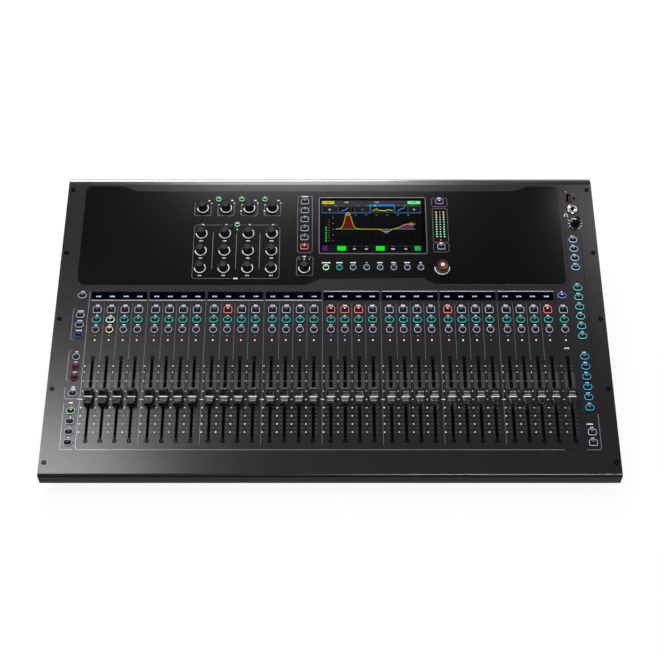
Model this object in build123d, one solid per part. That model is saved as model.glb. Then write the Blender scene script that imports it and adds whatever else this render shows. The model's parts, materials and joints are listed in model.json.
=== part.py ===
"""Digital mixing console: a bent-steel wedge case with 33 faders, their key blocks and displays,
a gloss upper panel with touchscreen and rotary controls, and sockets on the top and at the back.

The frame has +X to the operator's right, +Y away from the operator and +Z up. Its origin lies on
the table, under the middle of the case. The panel frame lies on the sloping top: x runs across,
s up the slope from the front bend, and h out of the panel.
"""

import os
from math import cos, pi, radians, sin, sqrt, tan

from build123d import *

# Case
slope = 12.0
top_sheet = 2.0
side_sheet = 2.0
rear_sheet = 1.5
base_sheet = 1.5
front_edge_height = 42.0
front_lip_height = 22.0
lip_return_depth = 24.0
front_bend_radius = 4.5
lip_bend_radius = 4.0
rear_bend_radius = 18.0
rear_lip_height = 10.0
rear_panel_setback = 6.0
rear_flange_depth = 16.0
side_wall_inset = 1.0
seam_gap = 0.3
foot_height = 8.0
foot_radius = 13.0
foot_draft = 8.0
foot_edge_distance = 45.0
foot_columns = 3
foot_sides = 8

# Layout across the panel
left_margin = 37.7
left_column_to_fader = 24.0
fader_pitch = 20.25
faders_per_bank = 4
bank_count = 8
bank_pitch = 85.4
last_fader_to_main = 22.95
main_to_right_column = 24.3
right_margin = 36.5

# Layout up the slope
front_to_slot = 51.4
slot_end_room = 5.3
slot_to_listen = 48.7
listen_to_select = 15.9
select_to_mute = 16.0
mute_to_display = 23.55
display_to_screen_panel = 19.25
screen_panel_depth = 161.2
screen_panel_to_rear_bend = 12.4

# Faders
fader_travel = 100.0
slot_width = 3.0
cap_width = 13.5
cap_length = 25.0
cap_end_height = 12.0
cap_saddle_height = 8.8
cap_lift = 1.5
cap_grip_land = 2.4
cap_end_lean = 0.9
lever_thickness = 2.2
lever_length = 8.0
lever_end_gap = 0.3
track_width = 12.0
track_height = 20.0
track_overhang = 4.0

# Keys
mute_width = 12.8
mute_depth = 11.2
mute_corner = 2.6
select_width = 13.2
select_depth = 9.6
select_corner = 3.4
listen_width = 11.2
listen_corner = 3.2
soft_width = 12.4
soft_depth = 9.6
function_width = 10.0
function_corner = 2.9
processor_width = 8.8
processor_corner = 2.6
key_rise = 2.4
key_depth = 3.0
key_draft = 5.0
key_travel = 1.0
key_clearance = 0.45
side_key_pitch = 15.75
right_layer_start = 96.8
right_mix_start = 208.2
right_upper_start = 321.2
right_soft_start = 44.2
left_bank_start = 44.7
left_page_start = 118.3
left_group_start = 143.9
left_talk_start = 210.7
left_bank_count = 4
left_page_count = 1
left_group_count = 3
left_talk_count = 3
right_soft_count = 2
right_layer_count = 6
right_mix_count = 6
right_upper_count = 4

# Circuit boards, which hang under the panel
board_thickness = 1.6
board_gap = 0.6
board_margin = 14.0
post_size = 6.0
main_board_width = 300.0
main_board_depth = 150.0
main_board_height = 8.0

# Displays
display_width = 81.0
display_depth = 13.5
display_rise = 0.8
display_body_depth = 4.0
touch_frame_width = 163.7
touch_frame_depth = 99.7
touch_frame_bar = 4.2
touch_frame_rise = 1.2
touch_frame_lap = 1.0
touch_corner = 2.5
touch_module_depth = 9.0

# Gloss upper panel
plate_rise = 1.2
plate_left_margin = 27.7
plate_to_right_column = 16.1
plate_rim = 9.0
plate_tab_rise = 8.8
plate_left_tab = 57.3
plate_right_tab = 46.4
plate_tab_run = 20.0
plate_notch_rise = 9.9
plate_notch_width = 154.0
plate_notch_run = 20.0
plate_notch_offset = -1.65
plate_corner = 6.0

# Controls of the upper panel, from the middle of the touchscreen
touch_to_plate_left = 438.95
touch_to_plate_front = 100.15
function_row_to_plate_front = 27.35
function_key_count = 8
function_key_pitch = 20.17
soft_column_to_touch = 103.05
soft_key_count = 6
soft_key_pitch = 15.78
soft_row_above_function = 35.2
meter_to_touch = 102.4
meter_key_drop = 37.8
lit_key_rise = 41.5
knob_column_count = 4
knob_pitch = 35.3
knob_to_soft_column = 49.4
preamp_row_above_touch = 31.25
eq_row_count = 3
eq_row_pitch = 29.5
preamp_key_side = 23.6
preamp_key_rise = 14.7
eq_key_side = 52.4
eq_key_rise = 14.9

# Knobs
knob_radius = 6.75
knob_flute = 0.65
knob_lobes = 6
knob_height = 12.6
knob_lift = 0.4
dial_height = 11.0
dial_radius = 9.4
shaft_radius = 3.0
shaft_sides = 8
shaft_clearance = 0.4
shaft_end_gap = 0.3
encoder_size = 12.0
encoder_height = 8.0

# Sockets in the top
jack_to_right_column = 4.2
jack_below_plate_top = 32.1
jack_bore_radius = 3.2
jack_bore_depth = 14.0
jack_nut_radius = 7.75
jack_nut_height = 2.2
jack_nut_sides = 12
jack_body_size = 12.0
jack_end_wall = 2.0
usb_below_plate_top = 12.0
usb_shell_width = 7.2
usb_shell_length = 14.5
usb_wall = 1.0
usb_depth = 12.0
usb_tongue = 1.9
usb_rise = 0.5
socket_clearance = 0.3
level_knob_to_column = 6.5
level_knob_below_jack = 24.5

# Sockets at the back
xlr_width = 26.0
xlr_height = 31.0
xlr_flange = 2.0
xlr_pitch = 28.5
xlr_row_pitch = 36.0
xlr_first_row_height = 36.0
xlr_columns = 6
xlr_rows = 2
xlr_groove_radius = 11.4
xlr_insert_radius = 8.4
xlr_groove_depth = 1.4
xlr_sides = 8
input_block_from_edge = 45.0
output_gap = 32.0
output_recess_radius = 9.8
output_recess_depth = 14.0
output_wall = 1.6
output_pin_size = 2.2
output_pin_length = 11.0
output_pin_circle = 4.9
line_jack_size = 13.0
line_jack_bore = 3.4
line_jack_depth = 20.0
line_jack_columns = 2
line_jack_pitch = 20.0
line_jack_proud = 1.0
network_width = 16.0
network_height = 14.0
network_wall = 2.0
computer_size = 12.0
computer_tongue_width = 5.6
computer_tongue_height = 3.2
data_depth = 14.0
data_gap = 26.0
inlet_width = 60.0
inlet_height = 30.0
inlet_flange = 2.0
inlet_recess_width = 22.0
inlet_recess_height = 16.0
inlet_recess_depth = 17.0
inlet_wall = 2.0
inlet_pin_length = 12.0
inlet_pin_width = 2.0
inlet_pin_height = 4.0
inlet_pin_spread = 7.0
inlet_side_of_middle = 13.5
inlet_gap = 34.0
rocker_width = 12.0
rocker_length = 20.0
rocker_depth = 7.0
rocker_crest = 2.6
rocker_tilt = 6.0
rocker_gap = 0.9
rocker_side_gap = 0.4
rocker_pocket_floor = 2.0

# Power supply
supply_width = 180.0
supply_depth = 95.0
supply_height = 38.0
supply_from_edge = 60.0
supply_from_rear = 60.0

# Worked out from the dimensions above
slope_angle = radians(slope)
front_tangent = front_bend_radius * tan((pi / 2 - slope_angle) / 2)
rear_tangent = rear_bend_radius * tan((pi / 2 + slope_angle) / 2)
fader_run = bank_pitch * (bank_count - 1) + fader_pitch * (faders_per_bank - 1)
case_width = (
    left_margin + left_column_to_fader + fader_run + last_fader_to_main + main_to_right_column + right_margin
)
left_column = left_margin - case_width / 2
first_fader = left_column + left_column_to_fader
main_fader = first_fader + fader_run + last_fader_to_main
right_column = main_fader + main_to_right_column
slot_length = fader_travel + lever_length + slot_end_room * 2
slot_middle = front_to_slot + slot_length / 2
listen_row = front_to_slot + slot_length + slot_to_listen
select_row = listen_row + listen_to_select
mute_row = select_row + select_to_mute
display_row = mute_row + mute_to_display
plate_front = display_row + display_to_screen_panel
plate_back = plate_front + screen_panel_depth
panel_length = plate_back + screen_panel_to_rear_bend
case_depth = (front_tangent + panel_length + rear_tangent) * cos(slope_angle)
case_front = -case_depth / 2
case_back = case_depth / 2
lip_bottom = front_edge_height - front_lip_height
rear_edge_height = front_edge_height + case_depth * tan(slope_angle)
rear_arc_height = rear_edge_height - rear_tangent
rear_lip_bottom = rear_arc_height - rear_lip_height
rear_face = case_back - rear_panel_setback
side_outer = case_width / 2 - side_wall_inset
side_inner = side_outer - side_sheet
base_front = case_front + lip_return_depth
base_floor = foot_height + base_sheet
strip_x = [
    first_fader + bank * bank_pitch + place * fader_pitch
    for bank in range(bank_count)
    for place in range(faders_per_bank)
]
all_strips = strip_x + [main_fader]

plate_left = plate_left_margin - case_width / 2
plate_right = right_column - plate_to_right_column
touch_x = plate_left + touch_to_plate_left
touch_s = plate_front + touch_to_plate_front
function_row = plate_front + function_row_to_plate_front
soft_column = touch_x - soft_column_to_touch
soft_row = function_row + soft_row_above_function
meter_column = touch_x + meter_to_touch
preamp_row = touch_s + preamp_row_above_touch
last_knob_column = soft_column - knob_to_soft_column
knob_columns = [
    last_knob_column - knob_pitch * (knob_column_count - 1 - n) for n in range(knob_column_count)
]
jack_x = right_column + jack_to_right_column
jack_s = plate_back - jack_below_plate_top
usb_s = plate_back - usb_below_plate_top
level_knob_x = right_column + level_knob_to_column
level_knob_s = jack_s - level_knob_below_jack

panel_frame = Plane(
    origin=(
        0,
        case_front + front_tangent * cos(slope_angle),
        front_edge_height + front_tangent * sin(slope_angle),
    ),
    x_dir=(1, 0, 0),
    z_dir=(0, -sin(slope_angle), cos(slope_angle)),
)
rear_frame = Plane(origin=(0, rear_face, 0), x_dir=(-1, 0, 0), z_dir=(0, 1, 0))


def save(node, *shapes):
    """Writes the solids of the shapes as one node."""
    solids = [solid for shape in shapes for solid in shape.solids()]
    export_step(solids[0] if len(solids) == 1 else Compound(solids), f"parts/{node}.step")


def on_panel(shapes):
    """Moves shapes from the panel frame to the console's frame."""
    return [panel_frame.location * shape for shape in shapes]


def on_rear(shapes):
    """Moves shapes from the rear panel's frame, x to the left and y up, to the console's frame."""
    return [rear_frame.location * shape for shape in shapes]


def prism(face, low, high, taper=0.0):
    """A face raised from one height to another, drawn in by the taper angle."""
    return extrude(Pos(0, 0, low) * face, amount=high - low, taper=taper)


def block(width, depth, low, high):
    return prism(Rectangle(width, depth), low, high)


def at(shape, places):
    """A copy of the shape at each place."""
    return [Pos(x, y, 0) * shape for x, y in places]


# Key outlines at the foot of the key. The clipped corners stand for small radii.
def clipped_outline(width, depth, corner):
    return chamfer(Rectangle(width, depth).vertices(), corner)


def oval_outline(width, depth, corner):
    half_width = width / 2
    half_depth = depth / 2
    return Polygon(
        (half_width, 0),
        (half_width - corner, half_depth),
        (corner - half_width, half_depth),
        (-half_width, 0),
        (corner - half_width, -half_depth),
        (half_width - corner, -half_depth),
        align=None,
    )


def key_hole(outline, low, high):
    """The opening round a key, parallel to its outline."""
    return prism(offset(outline, key_clearance, kind=Kind.INTERSECTION), low, high)


def key_body(outline, surface):
    """A key that stands its rise above the surface it comes through."""
    return prism(outline, -key_depth, surface + key_rise, key_draft)


mute_outline = clipped_outline(mute_width, mute_depth, mute_corner)
mute_opening = Rectangle(mute_width, mute_depth)
select_outline = oval_outline(select_width, select_depth, select_corner)
listen_outline = clipped_outline(listen_width, listen_width, listen_corner)
soft_outline = Rectangle(soft_width, soft_depth)
function_outline = clipped_outline(function_width, function_width, function_corner)
processor_outline = clipped_outline(processor_width, processor_width, processor_corner)


def column(x, start, count, pitch=side_key_pitch):
    """Places in a column, upwards from the first."""
    return [(x, start + pitch * n) for n in range(count)]


mute_places = [(x, mute_row) for x in all_strips]
select_places = [(x, select_row) for x in all_strips]
listen_places = [(x, listen_row) for x in all_strips]
side_oval_places = (
    column(left_column, left_bank_start, left_bank_count)
    + column(left_column, left_page_start, left_page_count)
    + column(left_column, left_talk_start, left_talk_count)
    + [(left_column, display_row), (main_fader, display_row)]
    + column(right_column, right_layer_start, right_layer_count)
    + column(right_column, right_mix_start, right_mix_count)
    + column(right_column, right_upper_start, right_upper_count)
)
side_round_places = column(left_column, left_group_start, left_group_count)
side_soft_places = column(right_column, right_soft_start, right_soft_count)

function_places = [
    (touch_x + function_key_pitch * (n - (function_key_count - 1) / 2), function_row)
    for n in range(function_key_count)
]
preamp_key_places = [(x + preamp_key_side, preamp_row + preamp_key_rise) for x in knob_columns[:-1]]
eq_top_row = function_row + eq_row_pitch * (eq_row_count - 1)
eq_key_places = [(knob_columns[-1] - eq_key_side, eq_top_row + eq_key_rise)]
processor_places = preamp_key_places + eq_key_places
meter_key_places = [(meter_column, touch_s - meter_key_drop), (meter_column, touch_s + lit_key_rise)]
plate_soft_places = column(soft_column, soft_row, soft_key_count, soft_key_pitch) + meter_key_places
encoder_knobs = {
    "gain_knob": (knob_columns[0], preamp_row),
    "filter_knob": (knob_columns[1], preamp_row),
    "gate_knob": (knob_columns[2], preamp_row),
    "compressor_knob": (knob_columns[3], preamp_row),
    "pan_knob": (soft_column, function_row),
}
dial_place = (meter_column, function_row)
level_place = (level_knob_x, level_knob_s)
eq_places = [(x, function_row + eq_row_pitch * n) for x in knob_columns for n in range(eq_row_count)]
plate_shaft_places = list(encoder_knobs.values()) + [dial_place]
display_places = [
    (first_fader + bank * bank_pitch + (faders_per_bank - 1) / 2 * fader_pitch, display_row)
    for bank in range(bank_count)
]


# Case. The section is a wedge whose top follows the slope, drawn in by an inset for inner faces.
def nearest_corner(face, y, z):
    return face.vertices().sort_by_distance(Vector(y, z, 0))[0]


def case_section(inset, bottom, bottom_radius=0.0):
    front = case_front + inset
    back = case_back - inset
    front_top = front_edge_height + (front - case_front) * tan(slope_angle) - inset / cos(slope_angle)
    back_top = front_top + (back - front) * tan(slope_angle)
    corners = [(front, bottom), (front, front_top), (back, back_top), (back, bottom)]
    section = make_face(Polyline(*corners, close=True))
    section = fillet(nearest_corner(section, front, front_top), front_bend_radius - inset)
    section = fillet(nearest_corner(section, back, back_top), rear_bend_radius - inset)
    if bottom_radius:
        section = fillet(nearest_corner(section, front, bottom), bottom_radius)
    return section


def rectangle_between(y_low, z_low, y_high, z_high):
    return Pos((y_low + y_high) / 2, (z_low + z_high) / 2) * Rectangle(y_high - y_low, z_high - z_low)


def across(section, half_width):
    """A Y-Z section drawn out evenly on both sides of the middle."""
    return extrude(Plane.YZ * section, amount=half_width, both=True)


def make_top_panel():
    sheet = case_section(0, lip_bottom, lip_bend_radius)
    sheet = sheet - case_section(top_sheet, lip_bottom + top_sheet, lip_bend_radius - top_sheet)
    sheet = sheet - rectangle_between(
        base_front, lip_bottom - top_sheet, case_back, lip_bottom + top_sheet * 2
    )
    sheet = sheet - rectangle_between(
        case_back - top_sheet * 2, lip_bottom - top_sheet, case_back + top_sheet, rear_lip_bottom
    )
    panel = across(sheet, case_width / 2)
    low = -top_sheet * 2
    high = top_sheet
    slot = block(slot_width, slot_length, low, high)
    window = block(display_width + socket_clearance * 2, display_depth + socket_clearance * 2, low, high)
    shaft_hole = prism(shaft_opening, low, high)
    usb_hole = block(
        usb_shell_width + socket_clearance * 2, usb_shell_length + socket_clearance * 2, low, high
    )
    jack_opening = jack_body_size + socket_clearance * 2
    jack_hole = block(jack_opening, jack_opening, low, high)
    openings = (
        at(slot, [(x, slot_middle) for x in all_strips])
        + at(key_hole(mute_opening, low, high), mute_places)
        + at(key_hole(select_outline, low, high), select_places + side_oval_places)
        + at(key_hole(listen_outline, low, high), listen_places + side_round_places)
        + at(key_hole(soft_outline, low, high), side_soft_places)
        + at(window, display_places)
        + at(shaft_hole, [level_place])
        + at(usb_hole, [(right_column, usb_s)])
        + at(jack_hole, [(jack_x, jack_s)])
        + [prism(plate_plug, low, high)]
    )
    return panel - on_panel(openings)


def make_side_panels():
    inset = top_sheet + seam_gap
    section = case_section(inset, foot_height)
    section = section - rectangle_between(
        case_front, 0, base_front + seam_gap, lip_bottom + lip_bend_radius + seam_gap
    )
    wall = extrude(Plane.YZ * section, amount=side_sheet)
    return [Pos(side_inner, 0, 0) * wall, Pos(-side_outer, 0, 0) * wall]


def make_base_tray():
    depth = rear_face - rear_sheet - base_front
    middle = Pos(0, base_front + depth / 2, 0)
    outer = middle * block(side_inner * 2, depth, foot_height, lip_bottom)
    inner = middle * block(side_inner * 2 - base_sheet * 2, depth - base_sheet * 2, base_floor, lip_bottom)
    return outer - inner


def make_feet():
    foot = prism(RegularPolygon(foot_radius, foot_sides), -foot_height, 0, foot_draft)
    foot = Rot(180, 0, 0) * foot
    spread = case_width / 2 - foot_edge_distance
    columns = [-spread + spread * 2 / (foot_columns - 1) * n for n in range(foot_columns)]
    rows = [base_front + foot_edge_distance, rear_face - foot_edge_distance]
    return at(foot, [(x, y) for x in columns for y in rows])


# Gloss upper panel: a plate on the sheet, with a plug that fills the cut-out under it.
def make_plate_outline():
    back = plate_back + plate_tab_rise
    notch = plate_front + plate_notch_rise
    notch_left = touch_x + plate_notch_offset - plate_notch_width / 2
    notch_right = notch_left + plate_notch_width
    outline = Polygon(
        (plate_left, plate_front),
        (notch_left - plate_notch_run, plate_front),
        (notch_left, notch),
        (notch_right, notch),
        (notch_right + plate_notch_run, plate_front),
        (plate_right, plate_front),
        (plate_right, back),
        (plate_right - plate_right_tab, back),
        (plate_right - plate_right_tab - plate_tab_run, plate_back),
        (plate_left + plate_left_tab + plate_tab_run, plate_back),
        (plate_left + plate_left_tab, back),
        (plate_left, back),
        align=None,
    )
    ends = outline.vertices().sort_by(Axis.X)
    return chamfer(ends[:2] + ends[-2:], plate_corner)


plate_outline = make_plate_outline()
plug_depth = screen_panel_depth - plate_notch_rise - plate_rim * 2
plate_plug = Pos((plate_left + plate_right) / 2, plate_back - plate_rim - plug_depth / 2) * Rectangle(
    plate_right - plate_left - plate_rim * 2, plug_depth
)
shaft_outline = RegularPolygon(shaft_radius, shaft_sides)
shaft_opening = RegularPolygon((shaft_radius + shaft_clearance) / cos(pi / shaft_sides), shaft_sides)


def make_screen_panel():
    plate = prism(plate_outline, 0, plate_rise)
    plug = prism(offset(plate_plug, -socket_clearance, kind=Kind.INTERSECTION), -top_sheet, 0)
    low = -top_sheet * 2
    high = plate_rise * 2
    opening_width = touch_frame_width - touch_frame_bar * 2
    opening_depth = touch_frame_depth - touch_frame_bar * 2
    openings = (
        at(key_hole(function_outline, low, high), function_places)
        + at(key_hole(processor_outline, low, high), processor_places)
        + at(key_hole(soft_outline, low, high), plate_soft_places)
        + at(prism(shaft_opening, low, high), plate_shaft_places)
        + at(block(opening_width, opening_depth, low, high), [(touch_x, touch_s)])
    )
    return (plate + plug) - openings


def make_touchscreen():
    frame_outer = chamfer(Rectangle(touch_frame_width, touch_frame_depth).vertices(), touch_corner)
    opening_width = touch_frame_width - touch_frame_bar * 2
    opening_depth = touch_frame_depth - touch_frame_bar * 2
    glass_width = opening_width - touch_frame_lap * 2
    glass_depth = opening_depth - touch_frame_lap * 2
    frame_outline = frame_outer - Rectangle(glass_width, glass_depth)
    frame = prism(frame_outline, plate_rise, plate_rise + touch_frame_rise)
    module = block(
        opening_width - socket_clearance * 2,
        opening_depth - socket_clearance * 2,
        plate_rise - touch_module_depth,
        plate_rise,
    )
    return at(frame, [(touch_x, touch_s)]) + at(module, [(touch_x, touch_s)])


def make_channel_display():
    return block(display_width, display_depth, -display_body_depth, display_rise)


# Fader: the cap's side is a saddle between two raised ends, over a flat lever through the slot.
def make_fader():
    foot = cap_length / 2
    top = foot - cap_end_lean
    grip = cap_grip_land / 2
    shoulder = (top + grip) / 2
    shoulder_height = cap_saddle_height + (cap_end_height - cap_saddle_height) / 4
    half = [
        (foot, cap_lift),
        (top, cap_end_height),
        (shoulder, shoulder_height),
        (grip, cap_saddle_height),
    ]
    mirrored = [(-s, h) for s, h in reversed(half)]
    cap = extrude(Plane.YZ * Polygon(*half, *mirrored, align=None), amount=cap_width / 2, both=True)
    lever = block(lever_thickness, lever_length, lever_end_gap - top_sheet, cap_lift)
    return cap + lever


# Each bank's four fader tracks share one housing under the sheet. The main fader has its own.
def make_fader_tracks():
    length = slot_length + track_overhang * 2
    low = -top_sheet - track_height
    bank_width = fader_pitch * (faders_per_bank - 1) + track_width
    bank_track = block(bank_width, length, low, -top_sheet)
    bank_middles = [x for x, s in display_places]
    return at(bank_track, [(x, slot_middle) for x in bank_middles]) + at(
        block(track_width, length, low, -top_sheet), [(main_fader, slot_middle)]
    )


# Knob: a fluted grip on a shaft that ends just over its encoder.
def fluted_outline(outer_radius):
    corners = []
    for n in range(knob_lobes * 2):
        radius = outer_radius - knob_flute * (n % 2)
        angle = pi * n / knob_lobes
        corners.append((radius * cos(angle), radius * sin(angle)))
    return Polygon(*corners, align=None)


def make_grip(surface, height, radius):
    return prism(fluted_outline(radius), surface + knob_lift, surface + height)


def make_knob(surface, height, radius=knob_radius):
    shaft = prism(shaft_outline, shaft_end_gap - top_sheet, surface + knob_lift)
    return make_grip(surface, height, radius) + shaft


def make_encoder():
    return block(encoder_size, encoder_size, -top_sheet - encoder_height, -top_sheet)


# Circuit boards: each hangs under the sheet on posts, just below the keys at their lowest.
board_top = -key_depth - key_travel - board_gap


def make_key_board(x_low, s_low, x_high, s_high):
    middle = Pos((x_low + x_high) / 2, (s_low + s_high) / 2, 0)
    width = x_high - x_low
    depth = s_high - s_low
    board = middle * block(width, depth, board_top - board_thickness, board_top)
    post = block(post_size, post_size, board_top, -top_sheet)
    spread = width / 2 - post_size / 2
    return board + [middle * Pos(side * spread, (depth - post_size) / 2, 0) * post for side in (-1, 1)]


def make_main_board():
    level = base_floor + main_board_height
    board = block(main_board_width, main_board_depth, level, level + board_thickness)
    post = block(post_size, post_size, base_floor, level)
    spread_x = (main_board_width - post_size) / 2
    spread_y = (main_board_depth - post_size) / 2
    return board + at(post, [(x, y) for x in (-spread_x, spread_x) for y in (-spread_y, spread_y)])


def make_power_supply():
    x = case_width / 2 - supply_from_edge - supply_width / 2
    y = rear_face - supply_from_rear - supply_depth / 2
    return Pos(-x, y, 0) * block(supply_width, supply_depth, base_floor, base_floor + supply_height)


# Sockets in the top
def make_headphone_socket():
    nut = prism(RegularPolygon(jack_nut_radius, jack_nut_sides), 0, jack_nut_height)
    body = block(jack_body_size, jack_body_size, jack_nut_height - jack_bore_depth - jack_end_wall, 0)
    bore = prism(Circle(jack_bore_radius), jack_nut_height - jack_bore_depth, jack_nut_height)
    return nut + body - bore


def make_memory_socket():
    shell = block(usb_shell_width, usb_shell_length, usb_rise - usb_depth - usb_wall, usb_rise)
    mouth_width = usb_shell_width - usb_wall * 2
    mouth_length = usb_shell_length - usb_wall * 2
    mouth = block(mouth_width, mouth_length, usb_rise - usb_depth, usb_rise)
    tongue_x = usb_shell_width / 2 - usb_wall - usb_tongue
    tongue = block(usb_tongue, usb_shell_length - usb_wall * 4, usb_rise - usb_depth, 0)
    return shell - mouth + Pos(tongue_x, 0, 0) * tongue


# Sockets at the back, drawn in the rear panel's frame with z out of the case
input_block = input_block_from_edge - case_width / 2
input_places = [
    (input_block + xlr_pitch * c, xlr_first_row_height + xlr_row_pitch * r)
    for c in range(xlr_columns)
    for r in range(xlr_rows)
]
output_x = input_block + xlr_pitch * (xlr_columns - 1) + output_gap
output_places = [(output_x, xlr_first_row_height + xlr_row_pitch * r) for r in range(xlr_rows)]
line_jack_places = [
    (output_x + output_gap + line_jack_pitch * c, xlr_first_row_height + xlr_row_pitch * r)
    for c in range(line_jack_columns)
    for r in range(xlr_rows)
]
data_x = output_x + output_gap + line_jack_pitch * (line_jack_columns - 1) + data_gap
network_place = (data_x, xlr_first_row_height)
computer_place = (data_x, xlr_first_row_height + xlr_row_pitch)
inlet_x = case_width / 2 - inlet_gap - inlet_width / 2
inlet_place = (inlet_x, xlr_first_row_height)
output_body_radius = output_recess_radius + output_wall
xlr_turn = Rot(0, 0, 180 / xlr_sides)


def xlr_circle(radius):
    return xlr_turn * RegularPolygon(radius, xlr_sides)


def make_input_socket():
    flange = block(xlr_width, xlr_height, 0, xlr_flange)
    ring = xlr_circle(xlr_groove_radius) - xlr_circle(xlr_insert_radius)
    return flange - prism(ring, xlr_flange - xlr_groove_depth, xlr_flange)


def make_output_socket():
    flange = block(xlr_width, xlr_height, 0, xlr_flange)
    floor = xlr_flange - output_recess_depth
    body = prism(xlr_circle(output_body_radius), floor - output_wall, 0)
    recess = prism(xlr_circle(output_recess_radius), floor, xlr_flange)
    pin = block(output_pin_size, output_pin_size, floor, floor + output_pin_length)
    reach = output_pin_circle / sqrt(2)
    pins = at(pin, [(-reach, reach), (reach, reach), (0, -output_pin_circle)])
    return flange + body - recess + pins


def make_line_jack():
    floor = line_jack_proud - line_jack_depth
    body = block(line_jack_size, line_jack_size, floor - output_wall, line_jack_proud)
    return body - prism(xlr_circle(line_jack_bore), floor, line_jack_proud)


def make_data_socket(width, height, wall):
    body = block(width, height, -data_depth - wall, line_jack_proud)
    return body - block(width - wall * 2, height - wall * 2, -data_depth, line_jack_proud)


def make_computer_socket():
    shell = make_data_socket(computer_size, computer_size, network_wall)
    return shell + block(computer_tongue_width, computer_tongue_height, -data_depth, 0)


def make_mains_inlet():
    recess_x = -inlet_side_of_middle
    rocker_x = inlet_side_of_middle
    flange = block(inlet_width, inlet_height, 0, inlet_flange)
    floor = inlet_flange - inlet_recess_depth
    body = block(
        inlet_recess_width + inlet_wall * 2, inlet_recess_height + inlet_wall * 2, floor - inlet_wall, 0
    )
    recess = block(inlet_recess_width, inlet_recess_height, floor, inlet_flange)
    pin = block(inlet_pin_width, inlet_pin_height, floor, floor + inlet_pin_length)
    pins = at(pin, [(-inlet_pin_spread, 0), (0, inlet_pin_height / 2), (inlet_pin_spread, 0)])
    pocket_width = rocker_width + rocker_side_gap * 2
    pocket_length = rocker_length + rocker_gap * 2
    pocket_floor = -rocker_depth - rocker_gap
    housing = block(
        pocket_width + inlet_wall * 2, pocket_length + inlet_wall * 2, pocket_floor - rocker_pocket_floor, 0
    )
    pocket = block(pocket_width, pocket_length, pocket_floor, inlet_flange)
    socket = flange + Pos(recess_x, 0, 0) * body + Pos(rocker_x, 0, 0) * housing
    socket = socket - Pos(recess_x, 0, 0) * recess - Pos(rocker_x, 0, 0) * pocket
    return socket + [Pos(recess_x, 0, 0) * one for one in pins]


def make_rocker():
    """A rocker that tips about its crest, drawn level and then tilted to its on position."""
    half = rocker_length / 2
    shoulder = inlet_flange
    outline = Polygon(
        (-half, shoulder),
        (0, shoulder - rocker_crest / 2),
        (half, shoulder),
        (half - rocker_gap, -rocker_depth + rocker_crest),
        (rocker_gap - half, -rocker_depth + rocker_crest),
        align=None,
    )
    return Rot(rocker_tilt, 0, 0) * extrude(Plane.YZ * outline, amount=rocker_width / 2, both=True)


# The rear panel's top edge is bent inwards as a stiffening flange.
def make_rear_panel():
    arc_offset = rear_bend_radius - rear_panel_setback
    inner_radius = rear_bend_radius - top_sheet
    top = rear_arc_height + sqrt(inner_radius**2 - arc_offset**2) - seam_gap
    height = top - foot_height
    panel = Pos(0, foot_height + height / 2, 0) * block(side_inner * 2, height, -rear_sheet, 0)
    flange = Pos(0, top - rear_sheet / 2, 0) * block(side_inner * 2, rear_sheet, -rear_flange_depth, 0)
    low = -rear_sheet * 2
    high = rear_sheet
    gap = socket_clearance * 2
    jack_hole = block(line_jack_size + gap, line_jack_size + gap, low, high)
    network_hole = block(network_width + gap, network_height + gap, low, high)
    computer_hole = block(computer_size + gap, computer_size + gap, low, high)
    output_hole = prism(xlr_circle(output_body_radius + socket_clearance), low, high)
    recess_hole = block(
        inlet_recess_width + inlet_wall * 2 + gap, inlet_recess_height + inlet_wall * 2 + gap, low, high
    )
    rocker_hole = block(
        rocker_width + rocker_side_gap * 2 + inlet_wall * 2 + gap,
        rocker_length + rocker_gap * 2 + inlet_wall * 2 + gap,
        low,
        high,
    )
    inlet_middle = Pos(inlet_place[0], inlet_place[1], 0)
    openings = (
        at(output_hole, output_places)
        + at(jack_hole, line_jack_places)
        + at(network_hole, [network_place])
        + at(computer_hole, [computer_place])
        + [inlet_middle * Pos(-inlet_side_of_middle, 0, 0) * recess_hole]
        + [inlet_middle * Pos(inlet_side_of_middle, 0, 0) * rocker_hole]
    )
    return (panel + flange) - openings


os.makedirs("parts", exist_ok=True)

save("top_panel", make_top_panel())
save("side_panels", *make_side_panels())
save("base_tray", make_base_tray())
save("rubber_feet", *make_feet())
save("rear_panel", *on_rear([make_rear_panel()]))
save("screen_panel", *on_panel([make_screen_panel()]))
save("touchscreen", *on_panel(make_touchscreen()))
save("channel_displays", *on_panel(at(make_channel_display(), display_places)))

fader = make_fader()
for number, x in enumerate(strip_x, 1):
    save(f"fader_{number:02d}", *on_panel(at(fader, [(x, slot_middle)])))
save("fader_main", *on_panel(at(fader, [(main_fader, slot_middle)])))
save("fader_tracks", *on_panel(make_fader_tracks()))

save("mute_keys", *on_panel(at(key_body(mute_outline, 0), mute_places)))
save("select_keys", *on_panel(at(key_body(select_outline, 0), select_places)))
save("listen_keys", *on_panel(at(key_body(listen_outline, 0), listen_places)))
save(
    "section_keys",
    *on_panel(at(key_body(select_outline, 0), side_oval_places)),
    *on_panel(at(key_body(listen_outline, 0), side_round_places)),
    *on_panel(at(key_body(soft_outline, 0), side_soft_places)),
)
save(
    "screen_panel_keys",
    *on_panel(at(key_body(function_outline, plate_rise), function_places)),
    *on_panel(at(key_body(processor_outline, plate_rise), processor_places)),
    *on_panel(at(key_body(soft_outline, plate_rise), plate_soft_places)),
)

for name, place in encoder_knobs.items():
    save(name, *on_panel(at(make_knob(plate_rise, knob_height), [place])))
save("select_dial", *on_panel(at(make_knob(plate_rise, dial_height, dial_radius), [dial_place])))
save("headphone_knob", *on_panel(at(make_knob(0, knob_height), [level_place])))
save("eq_knobs", *on_panel(at(make_grip(plate_rise, knob_height, knob_radius), eq_places)))

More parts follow.
